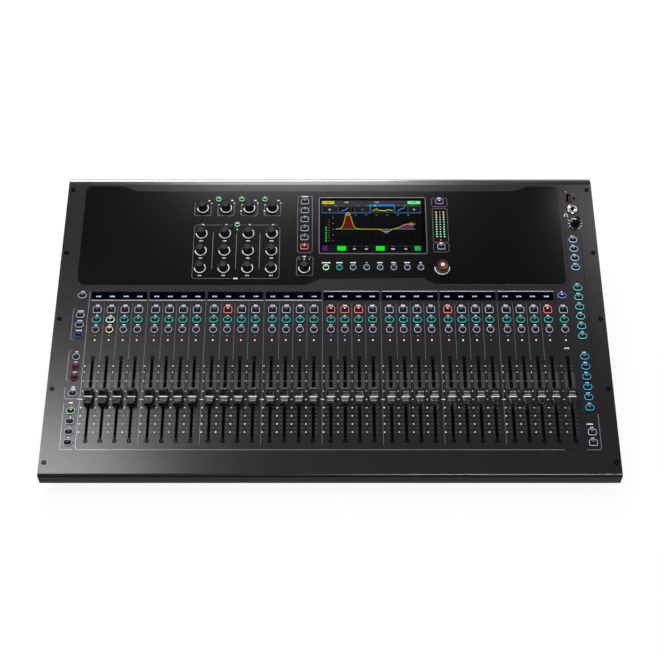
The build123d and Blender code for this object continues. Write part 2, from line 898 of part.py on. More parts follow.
strip_board = make_key_board(
    first_fader - board_margin,
    listen_row - board_margin,
    main_fader + board_margin,
    mute_row + board_margin,
)
left_board = make_key_board(
    left_column - board_margin,
    left_bank_start - board_margin,
    left_column + board_margin,
    display_row + board_margin,
)
right_board = make_key_board(
    right_column - board_margin,
    right_soft_start - board_margin,
    right_column + board_margin,
    right_upper_start + side_key_pitch * (right_upper_count - 1) + board_margin,
)
save(
    "circuit_boards",
    *on_panel([strip_board, left_board, right_board]),
    *on_panel(at(make_encoder(), plate_shaft_places + [level_place])),
    make_main_board(),
)
save("power_supply", make_power_supply())

save(
    "top_sockets",
    *on_panel(at(make_headphone_socket(), [(jack_x, jack_s)])),
    *on_panel(at(make_memory_socket(), [(right_column, usb_s)])),
)
save(
    "rear_sockets",
    *on_rear(at(make_input_socket(), input_places)),
    *on_rear(at(make_output_socket(), output_places)),
    *on_rear(at(make_line_jack(), line_jack_places)),
    *on_rear(at(make_data_socket(network_width, network_height, network_wall), [network_place])),
    *on_rear(at(make_computer_socket(), [computer_place])),
    *on_rear(at(make_mains_inlet(), [inlet_place])),
)
rocker_place = (inlet_place[0] + inlet_side_of_middle, inlet_place[1])
save("power_rocker", *on_rear(at(make_rocker(), [rocker_place])))
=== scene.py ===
import json
from math import cos, pi, radians, sin
from types import SimpleNamespace

import bpy
from mathutils import Matrix, Vector


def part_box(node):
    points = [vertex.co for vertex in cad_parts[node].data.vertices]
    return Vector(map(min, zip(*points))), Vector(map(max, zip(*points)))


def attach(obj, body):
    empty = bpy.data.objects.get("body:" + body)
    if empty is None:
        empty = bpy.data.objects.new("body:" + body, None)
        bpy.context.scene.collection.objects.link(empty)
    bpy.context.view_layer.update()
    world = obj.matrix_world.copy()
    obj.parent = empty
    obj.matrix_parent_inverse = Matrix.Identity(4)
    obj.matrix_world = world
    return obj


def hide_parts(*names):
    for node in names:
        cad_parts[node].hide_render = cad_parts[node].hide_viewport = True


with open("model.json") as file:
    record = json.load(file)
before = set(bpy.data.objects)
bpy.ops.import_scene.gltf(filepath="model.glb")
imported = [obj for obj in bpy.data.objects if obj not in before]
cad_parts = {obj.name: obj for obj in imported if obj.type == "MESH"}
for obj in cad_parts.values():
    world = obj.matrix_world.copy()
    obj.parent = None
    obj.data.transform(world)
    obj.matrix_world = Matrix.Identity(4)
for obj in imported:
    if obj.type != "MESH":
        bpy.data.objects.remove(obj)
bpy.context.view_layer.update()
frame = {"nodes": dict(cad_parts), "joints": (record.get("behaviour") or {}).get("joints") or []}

# Studio. The console stands on a white table under soft boxes: long ones high on its left and high
# behind it, a low one behind, and weak ones by its right end and over its front. A long lens looks
# down from the front.
lens_length = 65.4545
camera_place = (0.0, -1.0893, 1.4664)
camera_tilt = radians(37.71)
table_half = 6.0
table_white = (0.9, 0.9, 0.9, 1.0)
shadow_share = 0.1
room_dark = (0.04, 0.04, 0.041, 1.0)
room_pale = (0.94, 0.94, 0.94, 1.0)

camera_data = bpy.data.cameras.new("long_lens")
camera_data.sensor_width = 36.0
camera_data.lens = lens_length
camera_data.clip_end = 50.0
camera = bpy.data.objects.new("camera", camera_data)
camera.location = camera_place
camera.rotation_euler = (camera_tilt, 0, 0)
bpy.context.scene.collection.objects.link(camera)
bpy.context.scene.camera = camera
bpy.context.scene.view_settings.view_transform = "Standard"


def join(tree, *pairs):
    """Links the sockets of a node tree, two by two."""
    for start, end in pairs:
        tree.links.new(start, end)


def seen_directly(tree):
    """1 on rays that come straight from the eye, off a shiny surface or through glass."""
    path = tree.nodes.new("ShaderNodeLightPath")
    total = path.outputs["Is Camera Ray"]
    for kind in ("Is Glossy Ray", "Is Transmission Ray"):
        either = tree.nodes.new("ShaderNodeMath")
        either.operation = "MAXIMUM"
        join(tree, (total, either.inputs[0]), (path.outputs[kind], either.inputs[1]))
        total = either.outputs[0]
    return total


def lay_table():
    corners = [(table_half * x, table_half * y, 0) for x, y in ((-1, -1), (1, -1), (1, 1), (-1, 1))]
    mesh = bpy.data.meshes.new("table_top")
    mesh.from_pydata(corners, [], [(0, 1, 2, 3)])
    table = bpy.data.objects.new("table_top", mesh)
    bpy.context.scene.collection.objects.link(table)
    paper = bpy.data.materials.new("table_paper")
    paper.use_nodes = True
    tree = paper.node_tree
    lit = tree.nodes["Principled BSDF"]
    lit.inputs["Base Color"].default_value = table_white
    lit.inputs["Roughness"].default_value = 0.9
    glow = tree.nodes.new("ShaderNodeEmission")
    glow.inputs["Color"].default_value = (1, 1, 1, 1)
    part = tree.nodes.new("ShaderNodeMath")
    part.operation = "MULTIPLY"
    part.inputs[1].default_value = 1 - shadow_share
    mix = tree.nodes.new("ShaderNodeMixShader")
    join(
        tree,
        (seen_directly(tree), part.inputs[0]),
        (part.outputs[0], mix.inputs[0]),
        (lit.outputs[0], mix.inputs[1]),
        (glow.outputs[0], mix.inputs[2]),
        (mix.outputs[0], tree.nodes["Material Output"].inputs["Surface"]),
    )
    mesh.materials.append(paper)


def light_room():
    """A dark room, whose lower walls look pale to the eye and in reflections but give no light."""
    room = bpy.data.worlds.new("room")
    room.use_nodes = True
    tree = room.node_tree
    way = tree.nodes.new("ShaderNodeTexCoord")
    rise = tree.nodes.new("ShaderNodeSeparateXYZ")
    band = tree.nodes.new("ShaderNodeMapRange")
    band.interpolation_type = "SMOOTHSTEP"
    for end, height in {"From Min": 0.2, "From Max": 0.6, "To Min": 1.0, "To Max": 0.0}.items():
        band.inputs[end].default_value = height
    share = tree.nodes.new("ShaderNodeMath")
    share.operation = "MULTIPLY"
    tone = tree.nodes.new("ShaderNodeMix")
    tone.data_type = "RGBA"
    tone.inputs["A"].default_value = room_dark
    tone.inputs["B"].default_value = room_pale
    join(
        tree,
        (way.outputs["Generated"], rise.inputs[0]),
        (rise.outputs["Z"], band.inputs["Value"]),
        (band.outputs["Result"], share.inputs[0]),
        (seen_directly(tree), share.inputs[1]),
        (share.outputs[0], tone.inputs["Factor"]),
        (tone.outputs["Result"], tree.nodes["Background"].inputs["Color"]),
    )
    bpy.context.scene.world = room


# each lamp's place, the point it looks at, its width, its depth and its power in watts
lamp_tint = (1.0, 0.96, 0.99)
soft_boxes = {
    "left_soft_box": ((-1.59, 0.05, 2.8), (0, 0, 0.05), 0.58, 1.8, 51),
    "back_soft_box": ((-0.12, 1.96, 2.29), (0, 0, 0.05), 0.89, 1.6, 57),
    "right_soft_box": ((0.73, 0.46, 1.08), (0, 0, 0.05), 0.39, 0.25, 0.9),
    "low_back_soft_box": ((-0.5, 2.6, 0.6), (-0.1, 0.24, 0.14), 1.5, 0.8, 95),
    "front_strip_box": ((0.5, -1.1, 1.68), (0.3, -0.24, 0.06), 0.8, 0.12, 20),
}
lay_table()
light_room()
for name, (place, aim, width, depth, power) in soft_boxes.items():
    lamp = bpy.data.lights.new(name, "AREA")
    lamp.color = lamp_tint
    lamp.shape = "RECTANGLE"
    lamp.size = width
    lamp.size_y = depth
    lamp.energy = power
    holder = bpy.data.objects.new(name, lamp)
    holder.location = place
    holder.rotation_euler = (Vector(aim) - Vector(place)).to_track_quat("-Z", "Y").to_euler()
    bpy.context.scene.collection.objects.link(holder)


# Case. One bent sheet of steel makes the sloping top with its front lip, and two side walls, a
# rear plate and a base tray are screwed to it. Sheets are powder coated in a satin charcoal.
mm = 0.001
slides = {joint["child"]: Vector(joint["axis"]) for joint in frame["joints"] if joint["type"] == "slide"}
across = Vector((1, 0, 0))
up_slope = slides["fader_01"].normalized()
outward = -slides["mute_keys"].normalized()
sheet_points = [vertex.co for vertex in frame["nodes"]["top_panel"].data.vertices]
top_level = max(outward.dot(point) for point in sheet_points)
top_points = [point for point in sheet_points if top_level - outward.dot(point) < mm / 100]
front_line = min(up_slope.dot(point) for point in top_points)


def axes(x_way, y_way, z_way, origin):
    """Millimetres along three directions from an origin, turned into the console's metres."""
    columns = Matrix((x_way * mm, y_way * mm, z_way * mm)).transposed().to_4x4()
    return Matrix.Translation(origin) @ columns


# x across, y up the slope from the front bend, z out of the panel
on_panel = axes(across, up_slope, outward, up_slope * front_line + outward * top_level)


def seen(colour, share=1.0):
    """A colour as it looks, 0 to 255, turned into the shader's linear light and dimmed to a share."""
    parts = [value / 255 for value in colour]
    light = [v / 12.92 if v <= 0.04045 else ((v + 0.055) / 1.055) ** 2.4 for v in parts]
    return [v * share for v in light] + [1.0]


def finish(name, colour, roughness, grain=0.5, relief=0.01, mottle=0.12, patch=40.0, metallic=0.0,
           shine=0.5, index=None, share=1.0):
    """A finish with fine grain and broad mottling. Grain, relief and patch are in millimetres. Shine
    is how much light it throws straight back, 0.5 being plain plastic, unless an index is given."""
    skin = bpy.data.materials.new(name)
    skin.use_nodes = True
    tree = skin.node_tree
    shader = tree.nodes["Principled BSDF"]
    shader.inputs["Metallic"].default_value = metallic
    shader.inputs["Specular IOR Level"].default_value = shine
    if index:
        shader.inputs["IOR"].default_value = index
    place = tree.nodes.new("ShaderNodeTexCoord").outputs["Object"]
    noises = []
    for size, detail in ((grain, 2.0), (patch, 4.0)):
        noise = tree.nodes.new("ShaderNodeTexNoise")
        noise.inputs["Scale"].default_value = 1 / (size * mm)
        noise.inputs["Detail"].default_value = detail
        tree.links.new(place, noise.inputs["Vector"])
        noises.append(noise.outputs["Fac"])
    fine, broad = noises
    tone = tree.nodes.new("ShaderNodeValToRGB")
    for stop, at, strength in zip(tone.color_ramp.elements, (0.3, 0.7), (1 - mottle, 1 + mottle)):
        stop.position = at
        stop.color = [min(v * strength, 1.0) for v in seen(colour, share)[:3]] + [1.0]
    spread = tree.nodes.new("ShaderNodeMapRange")
    spread.inputs["To Min"].default_value = roughness * 0.9
    spread.inputs["To Max"].default_value = min(roughness * 1.1, 1.0)
    bump = tree.nodes.new("ShaderNodeBump")
    bump.inputs["Distance"].default_value = relief * mm
    join(
        tree,
        (broad, tone.inputs["Fac"]),
        (tone.outputs["Color"], shader.inputs["Base Color"]),
        (fine, spread.inputs["Value"]),
        (spread.outputs["Result"], shader.inputs["Roughness"]),
        (fine, bump.inputs["Height"]),
        (bump.outputs["Normal"], shader.inputs["Normal"]),
    )
    return skin


def darken_front(skin):
    """Paints shade onto the coat: where the sheet is folded down to face the front, it turns to a
    near-black metal.
    """
    tree = skin.node_tree
    shader = tree.nodes["Principled BSDF"]
    facing = tree.nodes.new("ShaderNodeNewGeometry")
    parts = tree.nodes.new("ShaderNodeSeparateXYZ")
    share = tree.nodes.new("ShaderNodeMapRange")
    share.inputs["From Min"].default_value = -0.72
    share.inputs["From Max"].default_value = -0.92
    coat = tree.nodes.new("ShaderNodeMix")
    coat.data_type = "RGBA"
    coat.inputs["B"].default_value = (0.002, 0.002, 0.002, 1.0)
    join(
        tree,
        (facing.outputs["True Normal"], parts.inputs[0]),
        (parts.outputs["Y"], share.inputs["Value"]),
        (share.outputs["Result"], coat.inputs["Factor"]),
        (shader.inputs["Base Color"].links[0].from_socket, coat.inputs["A"]),
        (coat.outputs["Result"], shader.inputs["Base Color"]),
        (share.outputs["Result"], shader.inputs["Metallic"]),
    )


def dress(node, skin):
    """Gives a node of the frame its finish."""
    frame["nodes"][node].material_slots[0].material = skin


coat_index = 1.46
coat_roughness = 0.225
case_coat = finish("case_coat", (30, 28, 30), coat_roughness, grain=0.7, relief=0.015, mottle=0.06,
                   patch=90.0, index=coat_index)
# the folded front lip is painted near black as shade
darken_front(case_coat)
base_coat = finish("base_coat", (20, 19, 20), 0.6, grain=0.7, relief=0.03, patch=90.0, shine=0.2)
rear_coat = finish("rear_coat", (38, 37, 39), 0.5, grain=0.7, relief=0.02, patch=90.0)
dress("top_panel", case_coat)
dress("side_panels", case_coat)
dress("base_tray", base_coat)
dress("rear_panel", rear_coat)


# Feet. Six turned feet of black rubber, each with a well in its sole, where a screw goes up into
# the base tray and holds it.
class Draft:
    """Points and faces in millimetres, gathered before they become one piece."""

    def __init__(self):
        self.points = []
        self.faces = []
        self.coats = []

    def loft(self, rings, coat=0, foot=True, top=True):
        """A skin through rings that have as many points each, with its ends shut or left open."""
        start = len(self.points)
        count = len(rings[0])
        for level, ring in enumerate(rings):
            self.points += ring
            low = start + count * (level - 1)
            for n in range(count if level else 0):
                m = (n + 1) % count
                self.faces.append((low + n, low + m, low + count + m, low + count + n))
                self.coats.append(coat(level, n) if callable(coat) else coat)
        last = len(self.points) - count
        ends = [range(start + count - 1, start - 1, -1)] * foot + [range(last, last + count)] * top
        self.faces += [tuple(end) for end in ends]
        self.coats += [coat(0, 0) if callable(coat) else coat] * len(ends)
        return self

    def stamp(self, other, x=0.0, y=0.0, z=0.0, turn=0.0, coat=None):
        """A copy of another draft, turned in degrees and set down, all in one coat if one is given."""
        start = len(self.points)
        c, s = cos(radians(turn)), sin(radians(turn))
        self.points += [(x + c * p - s * q, y + s * p + c * q, z + r) for p, q, r in other.points]
        self.faces += [tuple(start + corner for corner in face) for face in other.faces]
        self.coats += other.coats if coat is None else [coat] * len(other.coats)
        return self


def circle(radius, height, sides=24, flutes=0, flute=0.0):
    """A ring of points, drawn in by the depth of its flutes between their crests."""
    ring = []
    for n in range(sides):
        angle = 2 * pi * n / sides
        reach = radius - flute * (1 - cos(flutes * angle)) / 2
        ring.append((reach * cos(angle), reach * sin(angle), height))
    return ring


def hexagon(radius, height, sides=24):
    """A hexagon with points along its sides, so that it can be lofted to a circle."""
    ring = []
    for n in range(sides):
        angle = 2 * pi * n / sides
        reach = radius * cos(pi / 6) / cos(angle % (pi / 3) - pi / 6)
        ring.append((reach * cos(angle), reach * sin(angle), height))
    return ring


def turned(profile, sides=24):
    """Rings of a turned form from its radii and heights."""
    return [circle(radius, height, sides) for radius, height in profile]


def settle(draft, name, body, skins, way=on_panel, crease=32, node=None):
    """Makes the draft a piece that rides on a body, in place of a node of the frame if one is named."""
    mesh = bpy.data.meshes.new(name)
    mesh.from_pydata([way @ Vector(point) for point in draft.points], [], draft.faces)
    for skin in skins:
        mesh.materials.append(skin)
    mesh.polygons.foreach_set("material_index", draft.coats)
    mesh.polygons.foreach_set("use_smooth", [True] * len(draft.faces))
    mesh.update()
    mesh.set_sharp_from_angle(angle=radians(crease))
    return mount(mesh, name, body, node)


def mount(mesh, name, body, node=None, place=(0, 0, 0)):
    """Puts a mesh in the console as a piece of its own."""
    piece = bpy.data.objects.new(name, mesh)
    piece.location = place
    bpy.context.scene.collection.objects.link(piece)
    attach(piece, body)
    if node:
        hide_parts(node)
    return piece


def solids_of(node, way=on_panel):
    """Where each solid of a node lies, in millimetres along the directions of way, left to right."""
    mesh = frame["nodes"][node].data
    keys = [tuple(round(value, 5) for value in vertex.co) for vertex in mesh.vertices]
    leader = {key: key for key in keys}

    def first(key):
        while leader[key] != key:
            key = leader[key]
        return key

    for polygon in mesh.polygons:
        corners = [first(keys[corner]) for corner in polygon.vertices]
        for corner in corners[1:]:
            leader[first(corner)] = first(corners[0])
    groups = {}
    home = way.inverted()
    for key in leader:
        groups.setdefault(first(key), []).append(home @ Vector(key))
    solids = []
    for points in groups.values():
        (left, front, low), (right, back, high) = (
            [pick(point[k] for point in points) for k in range(3)] for pick in (min, max)
        )
        middle = {"x": (left + right) / 2, "y": (front + back) / 2}
        solids.append(SimpleNamespace(**middle, width=right - left, depth=back - front, low=low, high=high))
    return sorted(solids, key=lambda solid: (round(solid.x), solid.y))


upright = axes(across, Vector((0, 1, 0)), Vector((0, 0, 1)), Vector())
rubber = finish("foot_rubber", (24, 24, 25), 0.8, grain=0.4, relief=0.04, mottle=0.2, patch=6.0)
screw_black = finish("screw_black", (10, 10, 11), 0.5, grain=0.2, mottle=0.2, patch=2.0, shine=0.15)
feet = Draft()
foot_spots = solids_of("rubber_feet", upright)
foot_radius = foot_spots[0].width / 2
foot_height = foot_spots[0].high
foot_profile = [
    (foot_radius - 1.2, 0.0),
    (foot_radius - 0.5, 0.4),
    (foot_radius - 0.3, foot_height - 1.4),
    (foot_radius, foot_height - 0.8),
    (foot_radius, foot_height),
]
foot_well = [(0.8, foot_height - 3.0), (4.6, foot_height - 3.0), (4.6, 0.4), (5.0, 0.0)]
foot_screw = [(3.8, 3.05), (3.6, 3.9), (2.0, 4.3), (1.9, 3.4)]
foot_screw = [(radius, foot_height - drop) for radius, drop in foot_screw]
foot = Draft().loft(turned(foot_well + foot_profile, 32)).loft(turned(foot_screw, 32), 1)
for spot in foot_spots:
    feet.stamp(foot, spot.x, spot.y)
foot_skins = [rubber, screw_black]
settle(feet, "rubber_feet_turned", "console", foot_skins, upright, node="rubber_feet")


# Inside. Glass-fibre boards hang on posts under the keys, each bank of faders runs in a blackened
# steel housing screwed under the sheet, and a steel box by the mains inlet is the power supply.
board_green = finish("board_green", (22, 62, 44), 0.4, grain=0.5, relief=0.02, mottle=0.25, patch=8.0)
track_black = finish("track_black", (4, 4, 4), 0.9, grain=0.3, mottle=0.2, patch=14.0, shine=0.0)
supply_steel = finish("supply_steel", (140, 142, 145), 0.4, grain=0.4, mottle=0.2, patch=20.0, metallic=1.0)
dress("circuit_boards", board_green)
dress("fader_tracks", track_black)
dress("power_supply", supply_steel)


# Rear sockets. Twelve microphone inputs and two outputs in die-cast flanges, four jacks, a network
# and a computer socket, all let into the rear plate from outside and held by screws or ring nuts.
def rounded(width, depth, corner, height, steps=5):
    """A ring round a rectangle with round corners."""
    ring = []
    for n, (side_x, side_y) in enumerate(((1, 1), (-1, 1), (-1, -1), (1, -1))):
        for k in range(steps):
            angle = pi / 2 * (n + k / (steps - 1))
            x = side_x * (width / 2 - corner) + corner * cos(angle)
            y = side_y * (depth / 2 - corner) + corner * sin(angle)
            ring.append((x, y, height))
    return ring


def shell(width, depth, corner, profile, steps=5):
    """Rings of a rounded block from how far each is drawn in and how high it lies."""
    return [
        rounded(width - 2 * inset, depth - 2 * inset, max(corner - inset, 0.12), height, steps)
        for inset, height in profile
    ]


def block(width, depth, corner, profile, steps=5, coat=0):
    return Draft().loft(shell(width, depth, corner, profile, steps), coat)


def drafted(curve):
    """A draft of the solid that a curve makes, in the curve's own units."""
    holder = bpy.data.objects.new(curve.name, curve)
    bpy.context.scene.collection.objects.link(holder)
    mesh = bpy.data.meshes.new_from_object(holder.evaluated_get(bpy.context.evaluated_depsgraph_get()))
    draft = Draft()
    draft.points = [tuple(vertex.co) for vertex in mesh.vertices]
    draft.faces = [tuple(polygon.vertices) for polygon in mesh.polygons]
    draft.coats = [0] * len(draft.faces)
    bpy.data.objects.remove(holder)
    bpy.data.curves.remove(curve)
    bpy.data.meshes.remove(mesh)
    return draft


def pierced(rings, low, high, edge=0.2):
    """A plate between two levels, with the first ring round it and the others cut out of it."""
    curve = bpy.data.curves.new("plate", "CURVE")
    curve.dimensions = "2D"
    curve.fill_mode = "BOTH"
    curve.extrude = (high - low) / 2 - edge
    curve.bevel_depth = edge
    curve.offset = -edge
    for ring in rings:
        spline = curve.splines.new("POLY")
        spline.points.add(len(ring) - 1)
        for point, (x, y, z) in zip(spline.points, ring):
            point.co = (x, y, 0, 1)
        spline.use_cyclic_u = True
    return Draft().stamp(drafted(curve), z=(low + high) / 2)


def moved(ring, x, y):
    return [(x + p, y + q, r) for p, q, r in ring]


def above(level, profile):
    """Levels given from a face, such as the top of a socket, turned into levels from the sheet."""
    return [(reach, level + rise) for reach, rise in profile]


def screw_form(radius, height, socket, middle=0):
    """A low round head with a six-sided socket in it, whose floor may have a coat of its own."""
    edge = [(radius * 0.8, -0.4), (radius, -0.05), (radius, height * 0.4), (radius * 0.9, height * 0.8)]
    rings = turned([*edge, (radius * 0.72, height)])
    rings += [hexagon(socket, height - 0.02), hexagon(socket * 0.97, height * 0.3)]
    head = Draft().loft(rings)
    head.coats[-1] = middle
    return head


rear_skins = [
    finish("socket_metal", (26, 26, 27), 0.35, grain=0.4, mottle=0.12, patch=12.0, metallic=0.5),
    finish("socket_moulding", (15, 15, 16), 0.5, grain=0.3, mottle=0.2, patch=8.0),
    finish("contact_gold", (214, 178, 104), 0.25, grain=0.2, mottle=0.1, patch=3.0, metallic=1.0),
    finish("bright_chrome", (176, 174, 176), 0.2, grain=0.3, mottle=0.08, patch=6.0, metallic=1.0),
    finish("lamp_amber", (206, 150, 60), 0.3, grain=0.3, mottle=0.1, patch=3.0),
]
metal, moulding, gold, chrome, amber = range(5)
rear_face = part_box("rear_panel")[1].y
on_rear = axes(-across, Vector((0, 0, 1)), Vector((0, 1, 0)), Vector((0, rear_face, 0)))
rear_spots = solids_of("rear_sockets", on_rear)
contact_circle = 4.9
contact_turns = [radians(turn) for turn in (45, 135, 270)]
contact_places = [(contact_circle * cos(turn), contact_circle * sin(turn)) for turn in contact_turns]
flange_screw = screw_form(2.6, 0.9, 1.2)


def round_connector(spot, groove, well):
    """The flange that both kinds share, with a round opening down to a floor, and its two screws."""
    flange = rounded(spot.width, spot.depth, 2.4, 0, 7)
    part = Draft().stamp(pierced([flange, circle(groove, 0, 40)], 0.0, spot.high, 0.35))
    wall = above(spot.high, [(groove - 0.25, -0.35), (groove - 0.35, -0.8)])
    part.loft(turned([*wall, (groove - 0.35, well), (0.5, well)], 40), moulding, foot=False)
    for side in (-1, 1):
        part.stamp(flange_screw, side * 9.6, -side * 12.1, spot.high, turn=40 * side, coat=chrome)
    return part


def input_connector(spot):
    part = round_connector(spot, 11.9, 0.15)
    holes = [moved(circle(1.45, 0, 16), x, y) for x, y in contact_places]
    part.stamp(pierced([circle(8.6, 0, 36), *holes], 0.12, spot.high + 0.1, 0.25), coat=moulding)
    sleeve = Draft().loft(turned([(1.4, 0.14), (1.4, 0.9), (1.0, 0.9), (0.95, 0.18)], 12), gold, foot=False)
    for x, y in contact_places:
        part.stamp(sleeve, x, y)
    latch = block(7.4, 3.4, 0.9, above(spot.high, [(0, -0.3), (0, 0.6), (0.35, 0.9)]), 4, metal)
    return part.stamp(latch, 0, 13.0)


def output_connector(spot):
    groove = 9.8
    floor = spot.high - 14.0
    part = round_connector(spot, groove, floor)
    body = [(groove - 0.2, 0.0), (groove + 1.2, -0.05), (groove + 1.2, spot.low)]
    part.loft(turned(body, 40), moulding, foot=False)
    pin = above(floor, [(1.1, -0.05), (1.1, 10.4), (0.8, 10.85), (0.3, 11.0)])
    for x, y in contact_places:
        part.stamp(Draft().loft(turned(pin, 12), chrome), x, y)
    key = above(spot.high, [(0, -13.9), (0, -1.2), (0.2, -1.0)])
    return part.stamp(block(3.0, 1.0, 0.2, key, 3, moulding), 0, 8.9)


def line_connector(spot):
    """A jack in a square moulded body, with a ring nut over its threaded collar."""
    bore, reach, top = 3.3, 4.9, spot.high
    body = [(0, spot.low), (0, top - 0.3), (0.3, top)]
    part = block(spot.width, spot.depth, 1.2, body, coat=moulding)
    flats = [hexagon(6.3, top - 0.05), hexagon(6.3, top + 1.3)]
    part.loft(flats + turned([(5.5, top + 1.7), (reach, top + 1.7)]), chrome, foot=False, top=False)
    collar = [(reach, 1.0), (reach, 2.3), (4.6, 2.6), (bore + 0.3, 2.6), (bore, 2.3), (bore, 0.1)]
    part.loft(turned(above(top, collar)), chrome, foot=False, top=False)
    hollow = [(bore, 0.15), (bore - 0.05, 0.02), (0.4, 0.02)]
    return part.loft(turned(above(top, hollow)), moulding, foot=False)


def data_connector(spot, coat):
    """A square socket with its throat open down to its floor."""
    wall, corner = 2.0, 1.0
    body = [(0, spot.low), (0, spot.high - 0.3), (0.3, spot.high)]
    part = Draft().loft(shell(spot.width, spot.depth, corner, body), coat, top=False)
    throat = [(-0.1, spot.high), (0, spot.high - 0.1), (0, spot.low + wall)]
    mouth = shell(spot.width - 2 * wall, spot.depth - 2 * wall, 0.5, throat)
    part.loft([*shell(spot.width, spot.depth, corner, body[2:]), mouth[0]], coat, foot=False, top=False)
    return part.loft(mouth, moulding, foot=False)


def network_connector(spot):
    part = data_connector(spot, moulding)
    blade = block(0.5, 0.6, 0.1, [(0, spot.low + 2.0), (0, spot.high - 3.0)], 2, gold)
    for n in range(8):
        part.stamp(blade, 1.1 * (n - 3.5), 3.9)
    shield = [
        rounded(spot.width - gap, spot.depth - gap, corner, spot.high + rise)
        for gap, corner, rise in ((0.6, 0.8, -0.02), (0.6, 0.8, 0.35), (3.4, 0.5, 0.35), (3.4, 0.5, 0.0))
    ]
    part.loft(shield, chrome, foot=False, top=False)
    for side in (-1, 1):
        light = block(2.2, 1.2, 0.3, above(spot.high, [(0, 0.3), (0, 0.42)]), 3, amber)
        part.stamp(light, side * 5.0, -6.0)
    return part


def computer_connector(spot):
    tongue = block(5.6, 3.2, 0.4, [(0, spot.low + 2.0), (0, -0.3), (0.3, 0.0)], 3, moulding)
    return data_connector(spot, chrome).stamp(tongue)


connector_of = {26: input_connector, 13: line_connector, 16: network_connector, 12: computer_connector}
rear_connectors = Draft()
rear_forms = {}
for spot in rear_spots:
    form = connector_of.get(round(spot.width))
    if form is input_connector and spot.low < -1:
        form = output_connector
    if form is not None:
        if form not in rear_forms:
            rear_forms[form] = form(spot)
        rear_connectors.stamp(rear_forms[form], spot.x, spot.y)


# Mains inlet. One moulded module holds three flat blades in a deep recess with two cut corners,
# and a rocker switch beside them. Two screws through its flange hold it to the rear plate.
inlet = next(spot for spot in rear_spots if round(spot.width) == 60)
recess_x, rocker_x = inlet.x - 13.5, inlet.x + 13.5
recess_half, recess_rise, recess_cut, recess_depth = 11.0, 8.0, 4.5, 17.0
recess = [(recess_x + side * recess_half, inlet.y - recess_rise, 0) for side in (-1, 1)]
for side in (1, -1):
    cut = [(recess_half, recess_rise - recess_cut), (recess_half - recess_cut, recess_rise)][::side]
    recess += [(recess_x + side * x, inlet.y + y, 0) for x, y in cut]
pocket = moved(rounded(12.8, 21.8, 1.0, 0), rocker_x, inlet.y)
flange = moved(rounded(inlet.width, inlet.depth, 3.0, 0, 7), inlet.x, inlet.y)
rear_connectors.stamp(pierced([flange, recess, pocket], 0.0, inlet.high, 0.3), coat=moulding)
recess_floor = inlet.high - recess_depth
for ring, floor in ((recess, recess_floor), (pocket, -7.9)):
    walls = [[(x, y, level) for x, y, z in ring] for level in (inlet.high - 0.3, floor)]
    rear_connectors.loft(walls, moulding, foot=False)
blade = block(2.0, 4.0, 0.2, [(0, recess_floor), (0, inlet.high - 5.6), (0.3, inlet.high - 5.0)], 3, chrome)
for x, y in ((-7, 0), (0, 2), (7, 0)):
    rear_connectors.stamp(blade, recess_x + x, inlet.y + y)
for side in (-1, 1):
    rear_connectors.stamp(flange_screw, inlet.x + side * 27.0, inlet.y, inlet.high, coat=chrome)
rear_name = "rear_socket_fittings"
settle(rear_connectors, rear_name, "console", rear_skins, on_rear, 40, "rear_sockets")

# The rocker is moulded in one piece with two sloping faces, and pivots in the pocket on a pin.
rocker_skins = [
    finish("rocker_gloss", (22, 22, 23), 0.3, grain=0.3, mottle=0.15, patch=6.0),
    finish("rocker_mark", (226, 226, 224), 0.5, grain=0.3, mottle=0.05, patch=3.0),
]
rocker_half, rocker_depth, rocker_crest, rocker_tilt = 10.0, 7.0, 2.6, 6.0
shoulder = inlet.high
mark_level = shoulder - 0.62
profile = [
    (-rocker_half + 0.9, rocker_crest - rocker_depth),
    (rocker_half - 0.9, rocker_crest - rocker_depth),
    (rocker_half, shoulder - 0.3),
    (rocker_half - 0.3, shoulder),
    (rocker_half * 0.6, mark_level),
    (rocker_half * 0.2, shoulder - rocker_crest * 0.47),
    (0.0, shoulder - rocker_crest / 2),
]
profile += [(-y, z) for y, z in profile[-2:1:-1]]
side_rings = [(-6.0, 0.94), (-5.7, 1.0), (5.7, 1.0), (6.0, 0.94)]
rocker = Draft().loft([[(x, y * share, z * share) for y, z in profile] for x, share in side_rings])
rocker.stamp(block(0.7, 3.4, 0.2, [(0, 0), (0, 0.06)], 3, 1), 0, 5.6, mark_level)
ring_mark = pierced([rounded(3.2, 3.2, 1.58, 0), rounded(2.1, 2.1, 1.03, 0)], 0.0, 0.08, 0.01)
rocker.stamp(ring_mark, 0, -5.6, mark_level, coat=1)
tilted = Matrix.Rotation(radians(rocker_tilt), 4, "X")
rocker.points = [tuple(tilted @ Vector(point)) for point in rocker.points]
rocker = Draft().stamp(rocker, rocker_x, inlet.y)
node, slot = "power_rocker", "rocker_plastic"
settle(rocker, "power_rocker_marked", node, rocker_skins, on_rear, node=node)


# Top sockets. The phones jack is held by a round chromed nut with a knurled edge, and the memory
# socket is a pressed steel shell with a moulded tongue, let into the sheet beside a small plug.
socket_brown = finish("socket_brown", (66, 40, 24), 0.5, grain=0.3, mottle=0.15, patch=3.0)
top_skins = [rear_skins[chrome], rear_skins[moulding], track_black, socket_brown]
nut_coat, body_coat, hollow_coat, tongue_coat = range(4)
jack_spot, memory_spot = sorted(solids_of("top_sockets"), key=lambda solid: solid.y)
jack_bore = 2.9
bore_floor = jack_spot.high - 14.0
top_fittings = Draft()
jack = block(11.4, 11.4, 1.5, [(0, jack_spot.low), (0, -0.2)], coat=body_coat)
# a flat black ring round the foot of the nut
nut_dark_ring = [(8.9, 0.0), (9.1, 0.1), (9.1, 0.4), (8.9, 0.55), (7.6, 0.6)]
jack.loft(turned(nut_dark_ring, 48), hollow_coat)
nut_edge = [(8.0, 0.5), (8.1, 0.7), (8.1, 1.3), (7.5, 1.8), (6.4, 2.0)]
